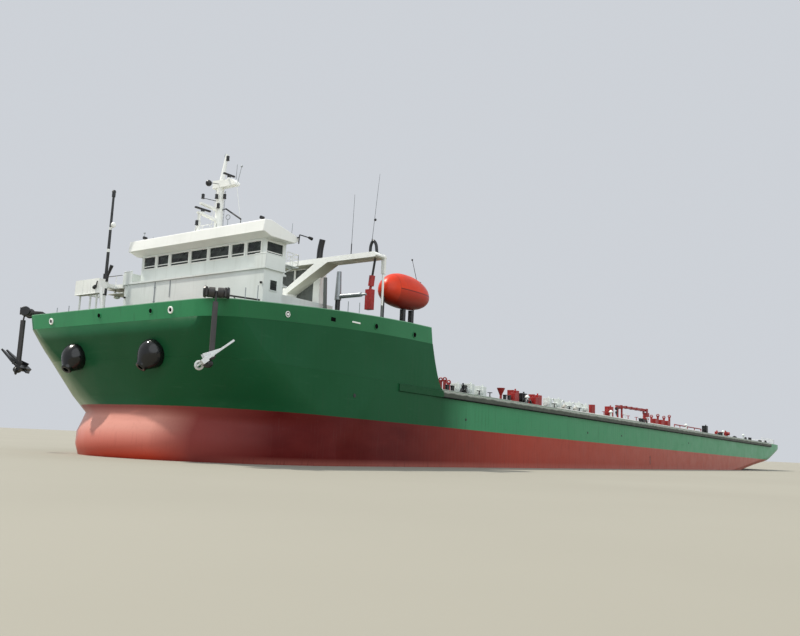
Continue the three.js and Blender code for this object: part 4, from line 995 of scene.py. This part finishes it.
# %% Bulwark capping
for name in ["bulwark_front", *both("bulwark")]:
    strip = bmesh.new()
    strip.from_mesh(nodes[name].data)
    bmesh.ops.remove_doubles(strip, verts=strip.verts, dist=1e-5)
    strip.normal_update()
    rest = [face for face in strip.faces if face.normal.z < 0.9 or face.calc_center_median().z < 1.16]
    bmesh.ops.delete(strip, geom=rest, context="FACES")
    raised = bmesh.ops.extrude_face_region(strip, geom=list(strip.faces))
    lifted = [part for part in raised["geom"] if isinstance(part, bmesh.types.BMVert)]
    bmesh.ops.translate(strip, verts=lifted, vec=(0, 0, 0.005))
    make_piece(strip, name + "_capping", capping_green, angle=30)

# %% [markdown]
# Round outlets lie along the sides, with one narrow upright scar in the red amidships. Thin rods stand on
# the bulwark, and a hand bar runs aft from each anchor roller.

# %% Side outlets and bow posts
OUTLETS = ((16.82, 5.2, 0.13), (6.41, 5.19, 0.13), (60.46, 6.47, 0.16), (-20.0, 5.0, 0.12),
           (44.0, 5.4, 0.12))
RODS = ((72.3, 11.55, 0.95), (71.2, 11.6, 1.2), (61.6, 11.75, 0.9), (60.2, 11.75, 0.95))
outlets = bmesh.new()
rods = bmesh.new()
hand_bars = bmesh.new()
for side in SIDES.values():
    for x, z, radius in OUTLETS:
        add_bar(outlets, (x, side * 11.88, z), (x, side * 11.93, z), radius, sides=14)
    add_block(outlets, (-3.75, -3.6), across(side, HULL_HALF, 11.92), (1.6, 2.8))
    for x, y, tall in RODS:
        top_z = bulwark_top(x)
        add_bar(rods, (x, side * y, top_z - 0.3), (x, side * y, top_z + tall), 0.035, sides=6)
    add_bar(hand_bars, (73.6, side * 11.45, 12.28), (70.9, side * 11.5, 12.42), 0.06, sides=8)
    for x in (73.3, 71.2):
        add_bar(hand_bars, (x, side * 11.8, bulwark_top(x) - 0.05), (x, side * 11.46, 12.3), 0.04, sides=6)
make_piece(outlets, "side_outlets", black_paint)
make_piece(rods, "bulwark_posts", galvanised)
make_piece(hand_bars, "roller_hand_bars", iron_brown)

# %% [markdown]
# The lifeboat is a closed orange shell, rounded by a subdivision. Its finish is darker below as painted
# shade, and darker again below the chine aft of the seam, also painted shade. A fine dark line draws the
# seam across the shell, and a dark line of painted shade draws the chine that runs aft from it. A thin
# aerial with a ball and a small dark block stand aft.

# %% Lifeboat shell and fittings
CHINE_HEIGHT = 1.640
SEAM_X = 5.565
boat_paint = Recipe("lifeboat_shell", "boat_orange")
x, y, z = boat_paint.split()
sheen = boat_paint.patches(6.0, 0.35, 0.65, detail=6.0)
colour = boat_paint.mix(sheen, "cc2f0e", "d83d18")
# Darker towards the bottom: painted shade.
under = boat_paint.spread(z, 1.52, 1.64, 1.0, 0.0)
colour = boat_paint.mix(boat_paint.times(under, 0.85), colour, "6c120c")
aft_of_seam = boat_paint.spread(x, 5.568, 5.560)
# Aft of the seam and below the chine it is darker again: painted shade.
shade_below_chine = boat_paint.times(boat_paint.spread(z, 1.642, 1.636), aft_of_seam)
colour = boat_paint.mix(boat_paint.times(shade_below_chine, 0.35), colour, "5e140d")
# The dark line along the chine is painted shade.
chine = boat_paint.near(z, CHINE_HEIGHT, 0.003, 0.006, 0.8)
colour = boat_paint.mix(boat_paint.times(chine, aft_of_seam), colour, "3c0f0a")
colour = boat_paint.mix(boat_paint.near(x, SEAM_X, 0.0012, 0.0028, 0.6), colour, "7a2415")
grime = boat_paint.patches(22.0, 0.58, 0.75, 0.0, 0.35, stretch=(1, 1, 0.3), detail=6.0)
boat_paint.relief(boat_paint.noise(40.0), 0.08, 0.002)
shell = boat_paint.close(boat_paint.mix(grime, colour, "8a3a22"), boat_paint.spread(sheen, 0, 1, 0.3, 0.42),
                         specular=0.3)
for side_name, side in SIDES.items():
    boat = bpy.data.objects["lifeboat_" + side_name + "_finished"]
    boat.data.materials.clear()
    boat.data.materials.append(shell)
    rounder = boat.modifiers.new("fair_shell", "SUBSURF")
    rounder.levels = 1
    rounder.render_levels = 1
    low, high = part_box("lifeboat_" + side_name)
    middle = (low.x + high.x) / 2 * MODEL_SCALE + ORIGIN_X
    print("lifeboat", side_name, "middle", round(middle, 2), "z", round(low.z, 3), round(high.z, 3))
    aerial = bmesh.new()
    add_bar(aerial, (49.3, side * 9.6, 17.2), (50.4, side * 9.6, 19.6), 0.03, 0.02, sides=6)
    add_ball(aerial, (50.42, side * 9.6, 19.62), 0.09)
    add_block(aerial, (49.15, 49.55), across(side, 9.4, 9.8), (17.3, 17.75))
    make_piece(aerial, "lifeboat_aerial_" + side_name, black_paint)

# %% [markdown]
# The main deck is crowded with small machinery. A few helpers make the usual kinds: a pair of bollards,
# a mushroom vent, a valve with its handwheel and a machine on a bed. They stand along both sides in
# the order that the low camera sees them in, and the other side is the same.

# %% Deck gear helpers
DECK_LIFT = 0.02


def add_bollards(shape, x, y, base, size=0.22, apart=0.45):
    bed = (x - apart - size, x + apart + size)
    add_block(shape, bed, (y - size * 1.2, y + size * 1.2), (base, base + 0.08))
    for offset in (-apart, apart):
        add_bar(shape, (x + offset, y, base + 0.05), (x + offset, y, base + 0.62), size * 0.85, sides=14)
        add_bar(shape, (x + offset, y, base + 0.6), (x + offset, y, base + 0.7), size, sides=14)


def add_vent(shape, x, y, base, tall=1.3, radius=0.16):
    top_z = base + tall
    add_bar(shape, (x, y, base), (x, y, top_z), radius, sides=12)
    add_bars(shape, 16, ((x, y, top_z), (x, y, top_z + 0.12), radius * 2.1, radius * 1.9),
             ((x, y, top_z + 0.12), (x, y, top_z + 0.3), radius * 1.9, radius * 0.6))


def add_valve(shape, x, y, base, tall=0.9):
    add_post(shape, (x, y, base), tall, 0.06, sides=8)
    add_bar(shape, (x, y, base + 0.1), (x, y, base + 0.4), 0.17, 0.12, sides=10)
    add_ring(shape, (x, y, base + tall), (0, 0, 1), 0.24, 0.035, steps=14, sides=5)
    add_bar(shape, (x - 0.24, y, base + tall), (x + 0.24, y, base + tall), 0.025, sides=5)


def add_machine(shape, x, y, base, long=1.6, wide=0.9, tall=1.2):
    upright = (base + 0.15, base + tall)
    shaft_z = base + tall * 0.55
    add_block(shape, (x - long / 2, x + long / 2), (y - wide / 2, y + wide / 2), (base, base + 0.18))
    add_block(shape, (x - long * 0.42, x - long * 0.05), (y - wide * 0.3, y + wide * 0.3), upright)
    add_bar(shape, (x, y, shaft_z), (x + long * 0.46, y, shaft_z), wide * 0.28, sides=14)
    add_block(shape, (x + long * 0.3, x + long * 0.38), (y - wide * 0.42, y + wide * 0.42), upright)
    add_post(shape, (x - long * 0.2, y, base + tall), 0.2, 0.09)


def set_out(add, shape, stations, y, **size):
    """Puts one thing of a kind on the main deck at every station."""
    for x in stations:
        add(shape, x, y, main_deck(x) + DECK_LIFT, **size)


# %% Main deck gear
POSTS = ((44.6, 1.5), (43.9, 1.6), (43.2, 1.4), (-11.2, 1.7), (-13.9, 2.0), (-16.5, 1.9), (-18.9, 2.2))
RED_MACHINES = ((30.0, 1.9, 1.6), (24.9, 2.6, 1.55), (3.8, 1.8, 1.8))
PALE_MACHINES = ((41.8, 1.2, 1.2), (39.4, 1.3, 1.4), (37.2, 1.6, 1.35), (22.2, 1.3, 1.4), (19.6, 1.0, 1.5),
                 (16.6, 1.4, 1.35), (13.9, 0.9, 1.5), (11.9, 1.2, 1.4))
red_gear = bmesh.new()
black_gear = bmesh.new()
pale_gear = bmesh.new()
for side in SIDES.values():
    y = side * 9.3
    inboard = y - side * 0.2
    for x, tall in POSTS:
        head = main_deck(x) + tall - 0.2
        add_bar(red_gear, (x, y, main_deck(x) + DECK_LIFT), (x, y, head), 0.16)
        add_ring(red_gear, (x, y, head), (1, 0, 0), 0.2, 0.07, steps=14, sides=6)
    for x in (-12.6, -15.2, -17.8):
        add_block(red_gear, (x - 0.5, x + 0.5), (y - 0.3, y + 0.3), (main_deck(x), main_deck(x) + 1.25))
    add_post(red_gear, (33.1, y, main_deck(33)), 0.9, 0.13)
    add_bar(red_gear, (33.1, y, main_deck(33) + 0.85), (33.1, y, main_deck(33) + 1.6), 0.13, 0.45, sides=14)
    for x, long, tall in RED_MACHINES:
        set_out(add_machine, red_gear, [x], inboard, long=long, tall=tall)
        box = (x + 0.1, x + long * 0.4)
        add_block(red_gear, box, (y - 0.4, y + 0.4), (main_deck(x), main_deck(x) + tall * 0.8))
    add_post(red_gear, (9.9, y, main_deck(10)), 1.6, 0.42, sides=18)
    add_bar(red_gear, (-21.2, y, main_deck(-21) + 0.9), (-34.5, y, main_deck(-34.5) + 0.9), 0.09, sides=8)
    for x in (-21.2, -23.8, -27.4, -31.0, -34.4):
        add_post(red_gear, (x, y, main_deck(x)), 0.95, 0.07, sides=8)
    for x, tall in ((28.0, 1.45), (-37.4, 1.6), (40.6, 1.2)):
        set_out(add_machine, black_gear, [x], inboard, tall=tall)
    for x, long, tall in PALE_MACHINES:
        set_out(add_machine, pale_gear, [x], y, long=long, tall=tall)
    for x in (20.9, 18.2, 15.3, 12.9):
        add_ring(pale_gear, (x, y, main_deck(x) + 1.15), (0, 1, 0), 0.32, 0.07, steps=16, sides=8)
        add_post(pale_gear, (x, y, main_deck(x)), 0.85, 0.09, sides=8)
    add_bar(pale_gear, (22.4, y, main_deck(22) + 0.95), (11.4, y, main_deck(11) + 0.95), 0.07, sides=8)
    set_out(add_bollards, black_gear, (45.4, 34.6, -40.2, -3.0), side * 10.9)
    set_out(add_valve, black_gear, (38.3, 36.2, 21.5, 17.4, 14.6), y + side * 0.5, tall=0.8)
    set_out(add_valve, red_gear, (7.2, 1.0, -1.0, -4.0), side * 9.8)
    set_out(add_valve, pale_gear, (0.2, -5.5, -8.0), side * 9.9, tall=1.1)
    set_out(add_vent, pale_gear, (28.9, 5.9, -24.0, -44.0, -57.0), side * 10.2, tall=0.9, radius=0.13)
make_piece(red_gear, "deck_red_machinery", machine_red, 0.015)
make_piece(black_gear, "deck_bollards", black_paint, 0.012)
make_piece(pale_gear, "deck_pale_gear", white_paint, 0.012)

# %% [markdown]
# The pipes that cross the deck end in bolted flanges, each a pair of thick discs. Two low pipes run
# along each side close to the deck edge, on short sleepers.

# %% Manifold flanges and side pipes
BOLTS = 8
BOLT_CIRCLE = 0.27
flanges = bmesh.new()
for side in SIDES.values():
    for x in (12.5, 15.5, 18.5):
        z = main_deck(x) + 0.65
        for y in (9.62, 7.4):
            add_bars(flanges, 18, ((x, side * y, z), (x, side * (y + 0.07), z), 0.33),
                     ((x, side * (y + 0.1), z), (x, side * (y + 0.17), z), 0.33))
            for bolt in range(BOLTS):
                turn = bolt * 2 * math.pi / BOLTS
                bolt_x = x + BOLT_CIRCLE * math.cos(turn)
                bolt_z = z + BOLT_CIRCLE * math.sin(turn)
                start = (bolt_x, side * (y + 0.02), bolt_z)
                add_bar(flanges, start, (bolt_x, side * (y + 0.22), bolt_z), 0.025, sides=5)
    for y, lift in ((10.4, 0.3), (10.75, 0.22)):
        start = (22.0, side * y, main_deck(22) + lift)
        add_bar(flanges, start, (-30.0, side * y, main_deck(-30) + lift), 0.09, sides=8)
    for step in range(14):
        x = 21.5 - step * 3.9
        sleeper = (main_deck(x), main_deck(x) + 0.2)
        add_block(flanges, (x - 0.06, x + 0.06), across(side, 10.2, 10.95), sleeper)
make_piece(flanges, "manifold_flanges_and_side_pipes", pipe_grey, 0.01)

# %% [markdown]
# A raised walkway with rails runs along the middle between the cargo pipes, and round tank hatches with
# lids, clips and a lifting ring stand beside it. From above they are what fills the long deck.

# %% Walkway and tank hatches
HATCHES = (40.0, 31.0, 22.5, 7.0, -2.5, -12.0, -45.0)
walkway = bmesh.new()
bars = bmesh.new()
for start, end, walk_z in ((20.2, 43.5, main_deck(32) + 0.62), (-17.0, 10.6, main_deck(-3) + 0.67)):
    add_block(walkway, (start, end), (-0.55, 0.55), (walk_z - 0.07, walk_z))
    for y in (0.5, -0.5):
        add_railing(bars, [(start, y, walk_z), (end, y, walk_z)], height=1.0, bars=2, gap=2.4)
    for step in range(int((end - start) / 2.6) + 1):
        x = start + 0.3 + step * 2.6
        for y in (0.45, -0.45):
            add_block(walkway, (x - 0.05, x + 0.05), (y - 0.05, y + 0.05), (main_deck(x), walk_z - 0.03))
make_piece(walkway, "deck_walkway", galvanised, 0.01)
make_piece(bars, "deck_walkway_rails", roof_white)
hatches = bmesh.new()
for x in HATCHES:
    base = main_deck(x)
    for y in (5.0, -5.0):
        add_bars(hatches, 24, ((x, y, base), (x, y, base + 0.6), 0.62),
                 ((x, y, base + 0.6), (x, y, base + 0.72), 0.72, 0.68))
        for clip in range(6):
            turn = clip * math.pi / 3
            spot = (x + 0.7 * math.cos(turn), y + 0.7 * math.sin(turn))
            add_bar(hatches, (*spot, base + 0.45), (*spot, base + 0.82), 0.035, sides=6)
        add_ring(hatches, (x, y, base + 0.82), (0, 1, 0), 0.13, 0.03, steps=12, sides=5)
make_piece(hatches, "tank_hatches", machine_red, 0.015)

# %% [markdown]
# A low round bar edges the deck, and chocks with two horns each stand beside it. Rails, a short staff,
# bollards and a small hatch finish the stern.

# %% Deck edge and stern
EDGE_STATIONS = (48.0, 20.0, -10.0, -40.0, -70.0)
stern_z = main_deck(-78)
edge_bar = bmesh.new()
chocks = bmesh.new()
stern_rails = bmesh.new()
stern_gear = bmesh.new()
for side in SIDES.values():
    corners = [(x, side * 11.72, main_deck(x) + 0.06) for x in EDGE_STATIONS]
    for start, end in zip(corners, corners[1:]):
        add_bar(edge_bar, start, end, 0.06)
    for x in (44.0, 30.9, -3.0, -36.8, -53.5, -68.0):
        base = main_deck(x)
        add_block(chocks, (x - 0.7, x + 0.7), across(side, 11.35, 11.65), (base, base + 0.12))
        for end in (-0.5, 0.5):
            tip = (x + end * 0.55, side * 11.5, base + 0.5)
            add_bar(chocks, (x + end, side * 11.5, base + 0.1), tip, 0.13, 0.1)
    route = [(-66.0, side * 11.3, main_deck(-66)), (-77.0, side * 11.0, stern_z),
             (-79.6, side * 9.6, stern_z), (-79.6, 0, stern_z)]
    add_railing(stern_rails, route, height=1.0, gap=1.9)
    add_bollards(stern_gear, -72.5, side * 9.4, main_deck(-72.5), size=0.26, apart=0.55)
    add_bollards(stern_gear, -60.0, side * 10.6, main_deck(-60))
    add_vent(stern_gear, -66.5, side * 6.0, main_deck(-66.5), tall=0.9, radius=0.22)
add_bar(stern_rails, (-79.3, 0, stern_z), (-79.6, 0, stern_z + 2.6), 0.05, 0.03, sides=8)
hatch_z = main_deck(-69)
add_block(stern_gear, (-70.2, -68.2), (-1.0, 1.0), (hatch_z, hatch_z + 0.75))
add_block(stern_gear, (-70.3, -68.1), (-1.1, 1.1), (hatch_z + 0.75, hatch_z + 0.85))
make_piece(edge_bar, "deck_edge_plate", strake_grey)
make_piece(chocks, "deck_chocks", black_paint, 0.02)
make_piece(stern_rails, "stern_rails_and_staff", roof_white)
make_piece(stern_gear, "stern_bollards_and_hatch", black_paint, 0.02)

# %% [markdown]
# The crane is red. Raised ribs stiffen its boom, a hook block hangs close under the head and a ladder
# climbs the pedestal. What lifts with the boom rides on the boom, and the ladder stays with the hull.

# %% Crane fittings
LADDER_X = -34.1
hook = bmesh.new()
add_bar(hook, (-20.6, -0.16, 10.2), (-20.6, 0.16, 10.2), 0.24, sides=18)
add_bar(hook, (-20.62, 0, 10.2), (-20.62, 0, 9.7), 0.04, sides=6)
add_block(hook, (-20.8, -20.44), (-0.12, 0.12), (9.35, 9.72))
add_ring(hook, (-20.62, 0, 9.2), (0, 1, 0), 0.14, 0.045, steps=14, sides=6)
make_piece(hook, "crane_hook_block", black_paint, 0.01, body="crane_boom")
ribs = bmesh.new()
for x in (-31.5, -29.2, -26.9, -24.6, -22.6):
    add_block(ribs, (x - 0.06, x + 0.06), (-0.24, 0.24), (10.36, 10.86))
make_piece(ribs, "crane_boom_ribs", machine_red, 0.01, body="crane_boom")
ladder = bmesh.new()
for rung in range(7):
    z = 7.1 + rung * 0.32
    add_bar(ladder, (LADDER_X, -0.2, z), (LADDER_X, 0.2, z), 0.025, sides=6)
for y in (-0.2, 0.2):
    add_bar(ladder, (LADDER_X, y, 6.8), (LADDER_X, y, 9.2), 0.03, sides=6)
    for z in (7.3, 8.9):
        add_bar(ladder, (LADDER_X, y, z), (-33.85, y, z), 0.025, sides=6)
add_bar(ladder, (-33.5, 0, 9.05), (-33.5, 0, 9.2), 0.62, sides=28)
make_piece(ladder, "crane_ladder_and_ring", machine_red)

# %% [markdown]
# The bulwark hides the forecastle deck from a low camera, but from above it is seen: bollards, a stores
# hatch and vents round the windlass, and a lifebuoy on each side of the casing.

# %% Forecastle deck gear
deck_gear = bmesh.new()
buoys = bmesh.new()
for side in SIDES.values():
    for x in (66.5, 60.5, 53.5):
        add_bollards(deck_gear, x, side * 10.7, knuckle(x), size=0.25, apart=0.5)
    add_vent(deck_gear, 72.6, side * 6.8, knuckle(72.6), tall=0.6, radius=0.2)
    add_vent(deck_gear, 52.8, side * 4.4, knuckle(52.8), tall=1.4, radius=0.28)
    add_ring(buoys, (58.6, side * 3.97, 13.6), (0, 1, 0), 0.3, 0.075, steps=24, sides=10)
make_piece(deck_gear, "forecastle_bollards_and_vents", black_paint, 0.02)
make_piece(buoys, "lifebuoys", boat_orange, angle=70)
stores = bmesh.new()
hatch_z = knuckle(51)
add_block(stores, (50.2, 52.0), (-1.1, 1.1), (hatch_z, hatch_z + 0.55))
add_block(stores, (50.1, 52.1), (-1.2, 1.2), (hatch_z + 0.55, hatch_z + 0.64))
for y in (-0.8, 0.8):
    add_ring(stores, (50.6, y, hatch_z + 0.68), (0, 1, 0), 0.12, 0.03, steps=12, sides=5)
make_piece(stores, "stores_hatch", white_paint, 0.02)

# %% [markdown]
# The floor is a plain pale studio floor. A little noise keeps it from being a dead flat tone.

# %% Floor finish
ground = Recipe("studio_floor", None)
floor.data.materials.append(ground.close(ground.mix(ground.noise(0.4), "8f8c80", "9a978b"), 0.85))
print("floor finished")
